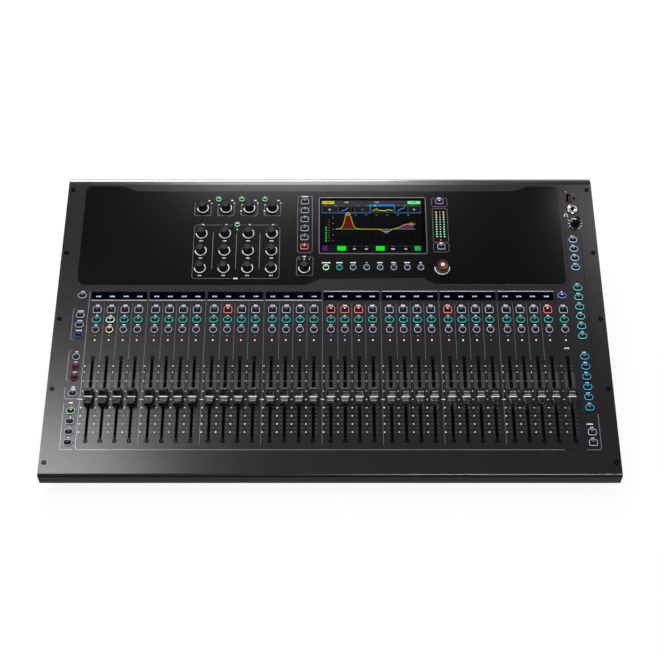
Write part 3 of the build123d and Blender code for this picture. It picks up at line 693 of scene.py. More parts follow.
nut_rings = [circle(radius, level, 96, 32, 0.22 if radius > 7.9 else 0.0) for radius, level in nut_edge]
collar = [(5.4, 2.0), (5.2, 1.7), (4.9, 1.75), (4.7, 2.2), (3.9, 2.2)]
collar += [(jack_bore + 0.1, 1.9), (jack_bore, 1.2)]
jack.loft(nut_rings + turned(collar, 96), nut_coat, foot=False, top=False)
hollow = [(jack_bore, 1.25), (jack_bore, bore_floor), (0.4, bore_floor)]
jack.loft(turned(hollow, 32), hollow_coat, foot=False)
top_fittings.stamp(jack, jack_spot.x, jack_spot.y)

rim, inside, floor = memory_spot.high, 0.45, memory_spot.high - 12.0
case_profile = [(0, memory_spot.low), (0, rim - 0.15), (0.12, rim)]
case_profile += [(inside - 0.1, rim), (inside, rim - 0.1)]
well = [case_profile[-1], (inside, floor), (1.6, floor)]
memory_size = (memory_spot.width, memory_spot.depth, 0.9)
memory = Draft().loft(shell(*memory_size, case_profile, 4), body_coat, top=False)
memory.loft(shell(*memory_size, well, 4), hollow_coat, foot=False)
tongue = block(1.9, 11.0, 0.2, [(0, floor), (0, -1.6), (0.2, -1.4)], 3, tongue_coat)
memory.stamp(tongue, memory_spot.width / 2 - 2.0, 0)
top_fittings.stamp(memory, memory_spot.x, memory_spot.y)
plug = Draft().loft(turned([(2.1, -0.2), (2.1, 0.1), (1.8, 0.25), (0.8, 0.3)], 20), hollow_coat)
top_fittings.stamp(plug, memory_spot.x + 8.3, memory_spot.y - 0.2)
top_name = "top_socket_fittings"
settle(top_fittings, top_name, "console", top_skins, crease=40, node="top_sockets")


# Upper panel. A moulded plate in a high-gloss black, let into a cut-out of the steel sheet, with
# small tabs along its back edge that lock it in place.
gloss_black = finish("gloss_black", (5, 5, 5), 0.16, grain=3.0, relief=0.002, mottle=0.1, patch=60.0,
                     index=coat_index)
dress("screen_panel", gloss_black)
plate_level = solids_of("screen_panel")[0].high


# Name displays. Eight long windows of smoked acrylic over small panels that light up a number for
# each fader. Along one long edge of each window lies a bar of its frame, painted pale as a highlight:
# the front edge on the left half of the console and the back edge on the right half.
def glowing(name, colour, strength, body=0.35, roughness=0.35, shine=0.5):
    """Plastic lit from within by a small lamp, its body as pale as a share of the lamp's colour. It also
    gives unlit pale rims a painted glow.
    """
    skin = finish(name, colour, roughness, grain=0.3, mottle=0.08, patch=3.0, shine=shine, share=body)
    shader = skin.node_tree.nodes["Principled BSDF"]
    shader.inputs["Emission Color"].default_value = seen(colour)
    shader.inputs["Emission Strength"].default_value = strength
    return skin


numeral_cuts = {}


def numerals(text, height, depth=0.05):
    """A number cut from thin film, centred on the origin. Each is made once."""
    if (text, height) not in numeral_cuts:
        curve = bpy.data.curves.new("numerals", "FONT")
        curve.body = text
        curve.resolution_u = 2
        curve.offset = 0.045
        curve.extrude = 0.5
        film = drafted(curve)
        low = [min(spot[k] for spot in film.points) for k in range(2)]
        high = [max(spot[k] for spot in film.points) for k in range(2)]
        scale = height / (high[1] - low[1])
        cut = Draft()
        for spot in film.points:
            x, y = (scale * (spot[k] - (low[k] + high[k]) / 2) for k in range(2))
            cut.points.append((x, y, depth * (spot[2] + 0.5)))
        cut.faces, cut.coats = film.faces, film.coats
        numeral_cuts[text, height] = cut
    return numeral_cuts[text, height]


display_skins = [
    finish("display_glass", (3, 3, 5), 0.1, grain=2.0, relief=0.001, patch=30.0, shine=0.06),
    finish("display_frame_painted_highlight", (172, 167, 171), 0.4, grain=0.3, mottle=0.08, patch=20.0),
    glowing("display_blue", (206, 216, 255), 1.0, shine=0.1),
]
windows = Draft()
digit_height = 2.1
bar_depth = 1.3
display_spots = solids_of("channel_displays")
fader_names = sorted(name for name in slides if name.startswith("fader_"))
strip_spots = {name: solids_of(name)[0] for name in fader_names}
strips = [strip_spots[name] for name in fader_names if name != "fader_main"]
for bank, spot in enumerate(display_spots):
    glass = [(0, spot.low), (0, spot.high - 0.25), (0.25, spot.high)]
    windows.stamp(block(spot.width, spot.depth, 0.4, glass, 3), spot.x, spot.y)
    bar_top = spot.high + 0.15
    bar = block(spot.width + 1.6, bar_depth, 0.4, [(0, -0.05), (0, bar_top - 0.3), (0.3, bar_top)], 3, 1)
    # the pale bar goes on the edge where the painted highlight falls
    side = 1 if bank >= len(display_spots) / 2 else -1
    windows.stamp(bar, spot.x, spot.y + side * (spot.depth + bar_depth) / 2)
    for number, strip in enumerate(strips[4 * bank : 4 * bank + 4], 4 * bank + 1):
        digits = numerals(f"{number:02d} {number * 25 % 1000:03d}", digit_height)
        windows.stamp(digits, strip.x, spot.y - 1.2, spot.high - 0.01, coat=2)
settle(windows, "channel_windows", "console", display_skins, node="channel_displays")


# Touchscreen. A colour panel behind one sheet of glass with a black border, held in a bevelled
# aluminium frame. It shows a level curve, a row of tiles and a bar of values, all in numbers.
ink_height = 0.05


def ribbon(points, width, coat, closed=False):
    """A printed line of even width through points, with mitred corners."""
    spots = [Vector(point[:2]) for point in points]
    count = len(spots)
    rings = []
    for n, spot in enumerate(spots):
        before = spots[n - 1] if n or closed else spot
        after = spots[(n + 1) % count] if n + 1 < count or closed else spot
        ways = [way.normalized() for way in (spot - before, after - spot) if way.length > 1e-6]
        way = sum(ways, Vector((0, 0))).normalized()
        side = Vector((-way.y, way.x)) * width / 2 / max(way.dot(ways[0]), 0.4)
        left, right = spot + side, spot - side
        rings.append([(*right, -0.02), (*left, -0.02), (*left, ink_height), (*right, ink_height)])
    if closed:
        rings.append(rings[0])
    return Draft().loft(rings, coat, foot=not closed, top=not closed)


def arc_line(x, y, radius, start, end, steps=24):
    """Points along an arc between two angles in degrees."""
    angles = [radians(start + (end - start) * n / steps) for n in range(steps + 1)]
    return [(x + radius * cos(a), y + radius * sin(a)) for a in angles]


frame_metal = finish("frame_metal", (100, 96, 100), 0.3, grain=0.25, mottle=0.08, patch=14.0, metallic=0.9)
screen_black = finish("screen_black", (4, 4, 6), 0.12, grain=2.0, relief=0.001, patch=40.0, shine=0.08)
touch_frame, touch_glass = sorted(solids_of("touchscreen"), key=lambda solid: -solid.high)
frame_low, frame_high = touch_frame.low, touch_frame.high
frame_rings = [(0.0, frame_low), (0.0, frame_high - 0.5), (0.4, frame_high), (1.3, frame_high)]
frame_rings += [(1.8, frame_high - 0.5), (1.8, frame_low), (0.0, frame_low)]
display_unit = Draft()
display_unit.loft(shell(touch_frame.width, touch_frame.depth, 3.0, frame_rings), foot=False, top=False)
glass_level = frame_high - 0.7
glass_profile = [(0.0, touch_glass.low), (0.0, glass_level - 0.1), (0.1, glass_level)]
display_unit.loft(shell(touch_frame.width - 3.7, touch_frame.depth - 3.7, 1.2, glass_profile), 1)
display_unit = Draft().stamp(display_unit, touch_frame.x, touch_frame.y)

tints = {
    "slate": (50, 50, 55), "shade": (20, 22, 27), "night": (5, 5, 8), "blue": (20, 112, 172),
    "yellow": (196, 178, 22), "lemon": (238, 226, 70), "green": (26, 168, 62), "lime": (18, 226, 22),
    "mint": (108, 232, 128), "violet": (92, 20, 96), "pink": (214, 60, 208), "blood": (96, 12, 10),
    "white": (224, 224, 228), "smoke": (112, 112, 118), "sky": (70, 150, 214), "rule": (27, 27, 32),
}
screen_skins = [frame_metal, screen_black]
screen_skins += [glowing(f"screen_{tint}", colour, 0.95, 0.1, 0.16, 0.08) for tint, colour in tints.items()]
coat_of = {tint: n for n, tint in enumerate(tints, 2)}
screen_width, screen_depth = 152.0, 89.4
screen_left = touch_frame.x - 1.6 - screen_width / 2
screen_foot = touch_frame.y - 1.05 - screen_depth / 2


def cell(left, foot, width, depth, tint, layer=1, corner=0.3):
    """A filled block on the screen, measured from its lower left corner."""
    x, y = screen_left + left + width / 2, screen_foot + foot + depth / 2
    film = block(width, depth, corner, [(0, 0), (0, 0.02)], 3, coat_of[tint])
    display_unit.stamp(film, x, y, glass_level + 0.01 + 0.03 * layer)


def trace(points, width, tint, layer=3, closed=False):
    spots = [(screen_left + x, screen_foot + y) for x, y in points]
    display_unit.stamp(ribbon(spots, width, coat_of[tint], closed), z=glass_level + 0.03 * layer)


def value(text, x, y, height, tint="white", layer=4):
    spot = (screen_left + x, screen_foot + y, glass_level + 0.03 * layer)
    display_unit.stamp(numerals(text, height), *spot, coat=coat_of[tint])


# the ground, the header and the row of tiles with the open one's tab
cell(0, 0, screen_width, screen_depth, "night", 0)
cell(0, 67.5, screen_width, 21.9, "slate", 1)
cell(0, 0, screen_width, 11.6, "shade", 1)
cell(1.0, 83.4, 18.5, 5.2, "yellow", 2)
cell(131.5, 83.4, 19.5, 5.2, "mint", 2)
value("0012", 10.2, 86.0, 1.7, "shade")
value("48 000", 141.2, 86.0, 1.7, "shade")
value("2 400", 38.0, 86.4, 2.0)
value("1 16 32", 84.0, 86.4, 2.0)
for n, left in enumerate((1.5, 26.5, 51.5, 76.5, 112.5, 132.5)):
    wide = 33.0 if n == 3 else 18.0 if n > 3 else 23.0
    cell(left, 69.0, wide, 9.6, "night" if n in (1, 3, 4) else "shade", 2)
    value(str(100 * (n + 1)), left + 5.0, 80.7, 1.5, "smoke" if n != 3 else "white", 5)
    if n in (0, 2, 4):
        cell(left + wide - 5.0, 80.0, 4.2, 1.5, "green", 3)
header, tab_left, tab_right, tab_top = 67.5, 74.0, 111.4, 82.6
tab = [(tab_left, header), (tab_left, tab_top), (tab_right, tab_top), (tab_right, header)]
trace([(0, header), *tab, (screen_width, header)], 0.9, "blue")
cell(tab_left, 79.2, tab_right - tab_left, 3.4, "blue", 3)
trace([(78, 71.4), (84, 75.2), (87, 72.2), (97, 71.6), (101, 73.6), (108, 72.0)], 0.6, "lemon", 4)
trace([(78, 71.0), (108, 71.0)], 0.5, "green", 4)
trace([(29.5, 70.4), (37.0, 73.6), (41.0, 77.0)], 0.9, "sky", 4)
trace([(116, 70.6), (121, 74.8), (127, 76.8)], 0.9, "sky", 4)
cell(44.0, 70.4, 1.8, 7.0, "blood", 4)
value("12", 12.5, 73.6, 2.6)
value("0.6", 62.5, 73.6, 2.6, "smoke")
value("24", 141.0, 73.6, 2.2)

# the graph: a tall narrow peak, a small dip and a low wide hump
graph_left, graph_right, base_line = 22.0, 142.0, 39.0
bells = ((27.0, 6.0, 20.5), (-5.0, 6.5, 78.0), (9.0, 16.0, 116.0))


def curve_height(x):
    parts = (height / (1 + ((x - 20 - middle) / spread) ** 4) for height, spread, middle in bells)
    return base_line + sum(parts)


for n in range(13):
    x = graph_left + (graph_right - graph_left) * n / 12
    trace([(x, 15.0), (x, 62.0)], 0.25, "rule", 1)
for n in range(5):
    height = 19.0 + 10.0 * n
    trace([(graph_left, height), (graph_right, height)], 0.25, "rule", 1)
    value(f"{abs(n * 6 - 12):02d}", 17.5, height, 1.6, "smoke")
for n, text in enumerate(("50", "100", "200", "500", "1000", "2000", "5000")):
    value(text, graph_left + 14.0 + 16.0 * n, 64.0, 1.5, "smoke")
steps = [graph_left + 1.25 * n for n in range(97)]
low, high = glass_level + 0.05, glass_level + 0.07
for start, end, tint in ((24.0, 60.0, "blood"), (84.0, 140.0, "violet")):
    rings = []
    for x in (step for step in steps if start <= step <= end):
        spot, foot, top = screen_left + x, screen_foot + base_line, screen_foot + curve_height(x) + 0.02
        rings.append([(spot, foot, low), (spot, top, low), (spot, top, high), (spot, foot, high)])
    display_unit.loft(rings, coat_of[tint])
trace([(graph_left, base_line), (graph_right, base_line)], 0.6, "green", 3)
trace([(x, curve_height(x)) for x in steps], 0.75, "yellow", 4)
for x, tint, mark in ((40.5, "blood", "lemon"), (98.0, "sky", "sky"), (136.0, "pink", "yellow")):
    y = curve_height(x)
    trace(arc_line(x, y, 2.6, 0, 345, 16), 0.5, mark, 5, closed=True)
    cell(x - 0.9, y - 0.9, 1.8, 1.8, tint, 5, 0.85)
for n in range(9):
    cell(6.0, 17.0 + 4.6 * n, 2.2, 3.2, "green" if n < 6 else "shade", 2)
    value(str(60 - 6 * n), 11.4, 18.6 + 4.6 * n, 1.4, "smoke")

# the bar of values along the foot
blocks = ((2.0, 7.0, "violet"), (24.0, 13.0, "lime"), (82.0, 13.0, "lime"), (140.0, 9.0, "green"))
for left, width, tint in blocks:
    cell(left, 2.0, width, 7.6, tint, 2)
for left, text in ((42.0, "120"), (60.0, "0.71"), (100.0, "2400"), (119.0, "+06")):
    cell(left, 1.6, 15.0, 6.0, "night", 2)
    value(text, left + 7.5, 4.6, 2.3)
    value(str(int(left) * 10), left + 7.5, 9.4, 1.4, "smoke")
settle(display_unit, "touch_display", "console", screen_skins, node="touchscreen")


# Keys. Each is a hard cap of smoked black acrylic in a translucent moulded rim that carries the
# light of the lamps on the board; the pale rims of unlit keys glow faintly with painted light. The
# rims of one row share a frame, so they were moulded at once.
key_draft = sin(radians(5.0))
key_foot = -3.0
rim_width = 0.45


def key_form(width, depth, corner, rise, tint, window):
    """A key that stands on z = 0 and reaches a little under it: its lit rim, its cap and its window."""
    lean = key_draft * (rise - key_foot)
    edge = lean + rim_width
    rim_profile = [
        (0.0, key_foot),
        (lean - 0.08, rise - 0.95),
        (lean - 0.05, rise - 0.5),
        (lean + 0.02, rise - 0.14),
        (lean + 0.16, rise),
        (edge - 0.1, rise),
        (edge, rise - 0.14),
        (edge, rise - 1.2),
    ]
    cap_profile = [(0.06, rise - 1.19), (0.06, rise - 0.3), (0.18, rise - 0.12), (0.56, rise - 0.08)]
    cap_profile = [(edge + inset, height) for inset, height in cap_profile]
    window_profile = [(0.0, rise - 0.2), (0.0, rise - 0.06), (0.08, rise - 0.02)]
    key = Draft().loft(shell(width, depth, corner, rim_profile), lambda level, n: tint if level > 1 else 0)
    key.loft(shell(width, depth, corner, cap_profile))
    return key.stamp(block(3.0, 1.25, 0.4, window_profile, 3, window), 0, depth / 2 - 3.1)


def key_corner(spot):
    """The corner radius of a key: some are ovals, some have soft corners, and the even ones are round."""
    longer = spot.width - spot.depth
    if longer > 3.2:
        return spot.depth / 2 - 0.1
    return 2.4 if longer > 0.5 else spot.width / 2 - 0.02


key_skins = [
    finish("key_cap", (16, 14, 16), 0.45, grain=0.4, relief=0.003, mottle=0.2, patch=4.0, shine=0.06),
    finish("window_dim", (104, 106, 110), 0.4, grain=0.3, mottle=0.1, patch=2.0),
    glowing("window_cool", (96, 168, 172), 0.7, shine=0.1),
    glowing("window_lit", (214, 232, 226), 0.9, shine=0.1),
]
dim, cool, lit = range(1, 4)
# each rim's letter in a row of keys, its look and the window that goes with it
rims = {
    # unlit pale rims: milky plastic with a painted glow, as no lamp lights them
    "p": (glowing("rim_pale_painted_glow", (180, 196, 216), 0.58, 0.8, shine=0.3), dim),
    "g": (glowing("rim_green", (150, 240, 164), 1.1), lit),
    "r": (glowing("rim_red", (255, 112, 112), 1.3), lit),
    "d": (glowing("rim_red_dim", (168, 26, 36), 0.6), dim),
    "o": (glowing("rim_royal", (16, 96, 190), 1.0), dim),
    "s": (glowing("rim_sky", (164, 210, 242), 1.2), cool),
    "q": (glowing("rim_aqua", (90, 208, 218), 1.2), cool),
    "z": (glowing("rim_azure", (40, 180, 228), 1.15), cool),
    "b": (glowing("rim_blue", (112, 152, 250), 1.1), lit),
    "t": (glowing("rim_teal", (20, 196, 186), 1.25), cool),
    "w": (glowing("rim_green_white", (204, 255, 222), 1.35), lit),
    "y": (glowing("rim_yellow", (248, 236, 140), 1.25), lit),
    "v": (glowing("rim_violet", (178, 128, 232), 1.1), lit),
}


def lay_keys(node, row, level=0.0):
    """One piece for a node's keys, whose rims are given by a letter each, from left to right."""
    used = [letter for letter in rims if letter in row]
    keys = Draft()
    forms = {}
    for spot, letter in zip(solids_of(node), row):
        size = (round(spot.width, 2), round(spot.depth, 2), key_corner(spot), round(spot.high - level, 2))
        if (size, letter) not in forms:
            tint = len(key_skins) + used.index(letter)
            forms[size, letter] = key_form(*size, tint, rims[letter][1])
        keys.stamp(forms[size, letter], spot.x, spot.y, level)
    skins = key_skins + [rims[letter][0] for letter in used]
    settle(keys, f"{node}_lit", node, skins, node=node)


lay_keys("mute_keys", "p" * 9 + "r" + "p" * 6 + "rrr" + "p" * 5 + "r" + "p" * 6 + "rp")
lay_keys("select_keys", "tw" + "t" * 31)
lay_keys("listen_keys", "py" + "p" * 31)
lay_keys("section_keys", "pppgpddpoppp" + "b" + "pp" + "z" * 6 + "q" * 6 + "s" * 4)
lay_keys("screen_panel_keys", "gggg" + "r" + "ppppp" + "wt" + "ppppppp" + "v", plate_level)


# Strip lamps. A clear moulded dome over a small diode below each strip's keys shows its state. The
# domes are pressed into the sheet.
lamp_skins = [
    glowing("lamp_green", (190, 255, 190), 1.6),
    glowing("lamp_orange", (255, 206, 120), 1.8),
    glowing("lamp_blue", (150, 176, 255), 1.6),
    finish("lamp_off", (150, 150, 140), 0.2, grain=0.2, mottle=0.1, patch=2.0),
]
lamp_row = 202.3
lamp_radius = 1.0
lamp_profile = [(1.0, -0.1), (1.0, 0.1), (0.86, 0.35), (0.5, 0.52)]
lamp_dome = Draft().loft(turned([(lamp_radius * share, height) for share, height in lamp_profile], 12))
lamp_states = "ggoooooggoooooggbbggoooooggxggogg"
lamps = Draft()
every_strip = [*strips, strip_spots["fader_main"]]
for spot, state in zip(every_strip, lamp_states):
    lamps.stamp(lamp_dome, spot.x, lamp_row, coat="gobx".index(state))
settle(lamps, "strip_lamps", "console", lamp_skins)


# Faders. Each cap is moulded in glossy black with a saddle for the finger and a white line across
# it, stands in a thin base painted grey as a sheen of reflected light, and is pushed onto a steel
# lever that comes up through its slot.
fader_skins = [
    finish("fader_gloss", (12, 12, 13), 0.24, grain=0.2, relief=0.003, patch=6.0, shine=0.3),
    finish("fader_white", (206, 203, 204), 0.5, grain=0.2, relief=0.004, mottle=0.05, patch=3.0),
    # the grey of the base is a painted sheen
    finish("fader_base_painted_sheen", (44, 43, 45), 0.5, grain=0.2, relief=0.004, mottle=0.1, patch=4.0),
    finish("lever_steel", (120, 120, 122), 0.3, grain=0.2, mottle=0.1, patch=4.0, metallic=1.0),
]
first = strip_spots["fader_01"]
cap_half = first.depth / 2
cap_foot = 1.5
saddle = 8.8
saddle_half = 9.0
shoulder = 1.3
line_half = 0.68


def cap_section(s, drop=0.0, inset=0.0):
    """A ring across the cap at s: leaning sides, round shoulders and a slightly hollow back, which is
    level at both ends of the cap with a saddle between."""
    reach = min(abs(s) / saddle_half, 1.0)
    top = saddle + (first.high - saddle) * (1 - cos(pi * reach)) / 2 - drop
    half_top = first.width / 2 - 0.8 - inset
    left = [(-half_top - 0.7, cap_foot + 1.3), (-half_top - 0.25, top - shoulder * 1.6)]
    for turn in (0, pi / 6, pi / 3, pi / 2):
        left.append((-half_top + shoulder * (1 - cos(turn)), top - shoulder * (1 - sin(turn))))
    left.append((-half_top * 0.4, top - 0.12))
    return [(x, s, z) for x, z in left] + [(-x, s, z) for x, z in left[::-1]]


def cap_coat(level, n):
    """White over the back and shoulders of the middle band, black elsewhere."""
    return 1 if level == len(front_rings) and 1 <= n <= 11 else 0


cap_steps = [(cap_half - 0.3, 2.0, 0.9), (cap_half - 0.45, 0.9, 0.35), (cap_half - 0.9, 0.25, 0.1)]
cap_steps += [(s,) for s in (cap_half - 1.5, saddle_half, 7.5, 6.0, 4.5, 3.0, 1.6, line_half)]
back_rings = [cap_section(*step) for step in cap_steps]
front_rings = [[(x, -s, z) for x, s, z in ring] for ring in back_rings]
cap = Draft().loft(front_rings + back_rings[::-1], cap_coat)
base_profile = [(0.25, cap_foot), (0.0, cap_foot + 0.25), (0.0, cap_foot + 1.1), (0.2, cap_foot + 1.35)]
# the base, whose grey is a painted sheen
cap.stamp(block(first.width, first.depth, 2.2, base_profile, coat=2))
cap.stamp(block(2.2, 8.0, 0.5, [(0.2, first.low), (0.0, first.low + 0.3), (0.0, cap_foot + 0.2)], 3, 3))
moulded = Draft().stamp(cap, first.x, first.y)
name = fader_names[0]
first_cap = settle(moulded, f"{name}_cap", name, fader_skins, crease=40, node=name)
for name in fader_names[1:]:
    place = across * (strip_spots[name].x - first.x) * mm
    mount(first_cap.data, f"{name}_cap", name, name, place)


# Knobs. Black moulded knobs with a scalloped grip over a round skirt, and a dark soft top. They
# press onto the flatted shafts of the encoders. The level knob has a white pointer line.
def knob_form(skirt_radius, grip_radius, height, flutes=8, flute=1.5):
    """A knob over the level it turns on: skirt, scalloped grip with a rounded edge, and a dished top."""
    profile = [
        (skirt_radius - 0.2, 0.4, 0.0),
        (skirt_radius, 0.6, 0.0),
        (skirt_radius, 1.4, 0.0),
        (skirt_radius - 0.3, 1.9, 0.1),
        (grip_radius + 0.2, 2.3, flute),
        (grip_radius, 3.2, flute),
        (grip_radius - 0.15, height - 0.9, flute),
        (grip_radius - 0.4, height - 0.3, flute),
        (grip_radius - 0.8, height, flute),
        (grip_radius - 1.3, height - 0.05, flute * 0.8),
        (grip_radius * 0.4, height - 0.3, 0.1),
    ]
    ribs = [circle(radius, z, 6 * flutes, flutes, depth) for radius, z, depth in profile]
    return Draft().loft(ribs, lambda level, n: 1 if level > 8 or level == 0 else 0)


def seat_knob(form, node, ending, skins, level, turn=0):
    """Sets a knob down over the level it turns on, with its steel shaft under it."""
    spot = solids_of(node)[0]
    piece = Draft().stamp(form, spot.x, spot.y, level, turn)
    shaft = turned([(2.6, spot.low), (2.9, spot.low + 0.3), (2.9, level + 0.6)], 16)
    piece.stamp(Draft().loft(shaft, 3), spot.x, spot.y)
    settle(piece, f"{node}_{ending}", node, skins, crease=40, node=node)
    return spot


knob_black = finish("knob_black", (5, 5, 6), 0.5, grain=0.25, patch=5.0, shine=0.1)
knob_top = finish("knob_top", (42, 40, 43), 0.6, grain=0.25, mottle=0.08, patch=6.0, shine=0.15)
pointer_white = finish("pointer_white", (236, 236, 234), 0.45, grain=0.2, relief=0.003, mottle=0.04,
                       patch=3.0)
shaft_steel = finish("shaft_steel", (140, 140, 142), 0.3, grain=0.2, mottle=0.1, patch=4.0, metallic=1.0)
knob_skins = [knob_black, knob_top, pointer_white, shaft_steel]
eq_spots = solids_of("eq_knobs")
grip = knob_form(6.7, 6.2, eq_spots[0].high - plate_level)
preamp_spots = [
    seat_knob(grip, f"{name}_knob", "grip", knob_skins, plate_level)
    for name in ("gain", "filter", "gate", "compressor")
]
pan_spot = seat_knob(grip, "pan_knob", "grip", knob_skins, plate_level)
equaliser = Draft()
for n, spot in enumerate(eq_spots):
    equaliser.stamp(grip, spot.x, spot.y, plate_level, turn=17 * n)
settle(equaliser, "eq_knob_grips", "console", knob_skins, crease=40, node="eq_knobs")

level_top = solids_of("headphone_knob")[0].high
level_knob = knob_form(6.7, 6.0, level_top, 10, 0.5)
level_knob.stamp(block(1.2, 5.0, 0.3, [(0.0, -0.3), (0.0, 0.1), (0.12, 0.18)], 2, 2), 0, 3.4, level_top)
level_knob.stamp(block(1.2, 0.7, 0.2, [(0.0, 2.4), (0.0, level_top - 0.4)], 2, 2), 0, 5.9)
level_skins = [knob_black, knob_black, pointer_white, shaft_steel]
level_spot = seat_knob(level_knob, "headphone_knob", "grip", level_skins, 0.0, 82)


# Select dial. A larger scalloped dial in smoked brown acrylic, with a warm lamp under its middle
# that shines through the clear window in its top.
dial_brown = glowing("dial_brown", (72, 46, 40), 0.2, 0.45, 0.12)
dial_shine = glowing("dial_shine", (120, 62, 38), 0.5, 0.5, 0.25)
dial_lamp = glowing("dial_lamp", (255, 226, 190), 4.0, 0.4, 0.2)
dial_spot = solids_of("select_dial")[0]
dial_reach = dial_spot.width / 2
dial_rise = dial_spot.high - plate_level
dial = knob_form(dial_reach - 0.1, dial_reach - 0.3, dial_rise, 12, 1.3)
dial_halo = [(5.6, -0.4), (5.4, 0.02), (2.6, 0.1), (1.6, 0.04)]
dial_bead = [(1.9, -0.2), (1.9, 0.1), (1.5, 0.4), (0.7, 0.6)]
dial.stamp(Draft().loft(turned(dial_halo), 2), z=dial_rise - 0.28)
dial.stamp(Draft().loft(turned(dial_bead, 16), 4), z=dial_rise - 0.26)
dial_skins = [dial_brown, dial_brown, dial_shine, shaft_steel, dial_lamp]
seat_knob(dial, "select_dial", "lit", dial_skins, plate_level)


# Printing. Thin lines, brackets and numbers in white and grey ink, baked onto the coat after the
# sheet was sprayed. A black ink edges the faders' slots and a dull one outlines the right columns.
thin = {"grain": 0.3, "relief": 0.002, "patch": 8.0}
print_skins = [
    finish("ink_white", (248, 250, 250), coat_roughness, mottle=0.05, index=coat_index, **thin),
    finish("ink_grey", (124, 126, 128), coat_roughness, mottle=0.05, index=1.75, **thin),
    finish("ink_dim", (94, 95, 97), coat_roughness, mottle=0.05, index=1.75, **thin),
    finish("ink_black", (4, 4, 4), 0.9, shine=0.0, **thin),
    finish("ink_shade", (12, 11, 12), 0.6, shine=0.1, **thin),
]
white, grey, dim, black, shade = range(5)
panel_print = Draft()
print_level = 0.0


def draw(points, width=0.4, coat=grey, closed=False):
    """A line on the level that is being printed."""
    panel_print.stamp(ribbon(points, width, coat, closed), z=print_level)


def write(number, x, y, height, coat=white):
    """A number on that level, centred on a point."""
    panel_print.stamp(numerals(str(number), height, ink_height), x, y, print_level, coat=coat)


def rules(x, y, near, far, width, coat=dim):
    """A pair of short level lines, one on each side of x."""
    for side in (-1, 1):
        draw([(x + side * near, y), (x + side * far, y)], width, coat)


# Fader scales. The number column stands left of each slot, with short rules on both sides, and
# each slot has a printed black edge.
zero_row, ten_row = 137.9, 109.7
scale = {161.4: 10, 151.6: 5, zero_row: 0, 122.4: 5, ten_row: 10, 97.2: 20, 84.9: 30, 72.7: 40, 60.6: 60}
rule_near = 3.0
rows = sorted(scale)
between_rows = [(low + high) / 2 for low, high in zip(rows, rows[1:]) if low != zero_row]
slot_foot, slot_head, slot_half = 51.4, 170.0, 1.75
for spot in every_strip:
    for row, number in scale.items():
        write(number, spot.x - 10.4, row, 1.7)
        rules(spot.x, row, rule_near, 6.6, 0.5)
    for row in between_rows:
        draw([(spot.x - 8.2, row), (spot.x - rule_near, row)], 0.42, dim)
        draw([(spot.x + rule_near, row), (spot.x + 7.0, row)], 0.42, dim)
    for row in range(113, 151):
        rules(spot.x, row, rule_near, 7.6, 0.26)
    left, right = spot.x - slot_half, spot.x + slot_half
    slot_edge = [(right, slot_foot), (right, slot_head), (left, slot_head), (left, slot_foot)]
    draw(slot_edge, 0.5, black, closed=True)
for bank in range(len(display_spots)):
    group = every_strip[4 * bank : 4 * bank + 4]
    draw([(group[0].x - 8.2, zero_row), (group[-1].x + 8.6, zero_row)], 0.3)

# Lines between the strips and round the banks, with a rounded frame along the front.
frame_left, frame_front, frame_right = -353.6, 34.4, 325.0
frame_corner = 5.0
for bank in range(len(display_spots)):
    group = strips[4 * bank : 4 * bank + 4]
    for low, high in zip(group, group[1:]):
        middle_x = (low.x + high.x) / 2
        draw([(middle_x, 171.5), (middle_x, 262.0)], 0.6, dim)
    if bank:
        edge = (strips[4 * bank - 1].x + group[0].x) / 2
        draw([(edge, 42.0), (edge, 265.0)], 0.7, dim)
        draw([(edge - 2.2, ten_row), (edge + 2.2, ten_row)], 0.7, white)
corner_arc = arc_line(frame_left + frame_corner, frame_front + frame_corner, frame_corner, 180, 270, 6)
draw([(frame_left, 282.0), (frame_left, 244.0)], 0.7)
draw([(frame_left, 226.0), *corner_arc, (frame_right, frame_front)], 0.7)
draw([(frame_left - 3.2, ten_row), (frame_left + 2.2, ten_row)], 0.8, white)

# Numbers over the keys of each strip.
label_gap = 2.5


def label(number, spot, height, lift=0.0, shift=0.0):
    """A number over a key, with room between them."""
    write(number, spot.x + shift, spot.y + spot.depth / 2 + label_gap + lift, height)


for row, base, height in (("mute", 10000, 2.0), ("select", 200, 1.7), ("listen", 3000, 1.9)):
    for n, spot in enumerate(solids_of(f"{row}_keys"), 1):
        label(base + n, spot, height)
for n, spot in enumerate(every_strip, 1):
    write(f"{n:02d}", spot.x, 209.8, 1.7, grey)
write(33100, strip_spots["fader_main"].x, 189.5, 2.2)

# Numbers and brackets of the side columns. The left keys stand in order from the front.
side_spots = solids_of("section_keys")
left_spots, right_spots = side_spots[:12], side_spots[13:]
left_labels = (4, 3, 2, 1, 482040, 50500, 60600, 7070, 80124300, 9011000, 100020000, 11000)
for number, spot in zip(left_labels, left_spots):
    label(number, spot, 1.7)
label(1200, left_spots[4], 1.9, 3.4)
label(14000, left_spots[3], 1.9, 5.4, -1.5)
for number, spot in enumerate(right_spots, 60100):
    label(number, spot, 1.6)
label(50607080, right_spots[1], 1.8, 5.2, -2.0)
label(69, side_spots[12], 1.7)


def bracket(x, low, high, reach, corner):
    """A line up one side of a group, with its ends turned towards the keys."""
    way = 1 if reach > 0 else -1
    turns = (1.57, 1.05, 0.52, 0)
    foot = [(x + way * corner * (1 - cos(turn)), low + corner * (1 - sin(turn))) for turn in turns]
    head = [(p, low + high - q) for p, q in foot[::-1]]
    draw([(x + reach, low), *foot, *head, (x + reach, high)], 0.6)


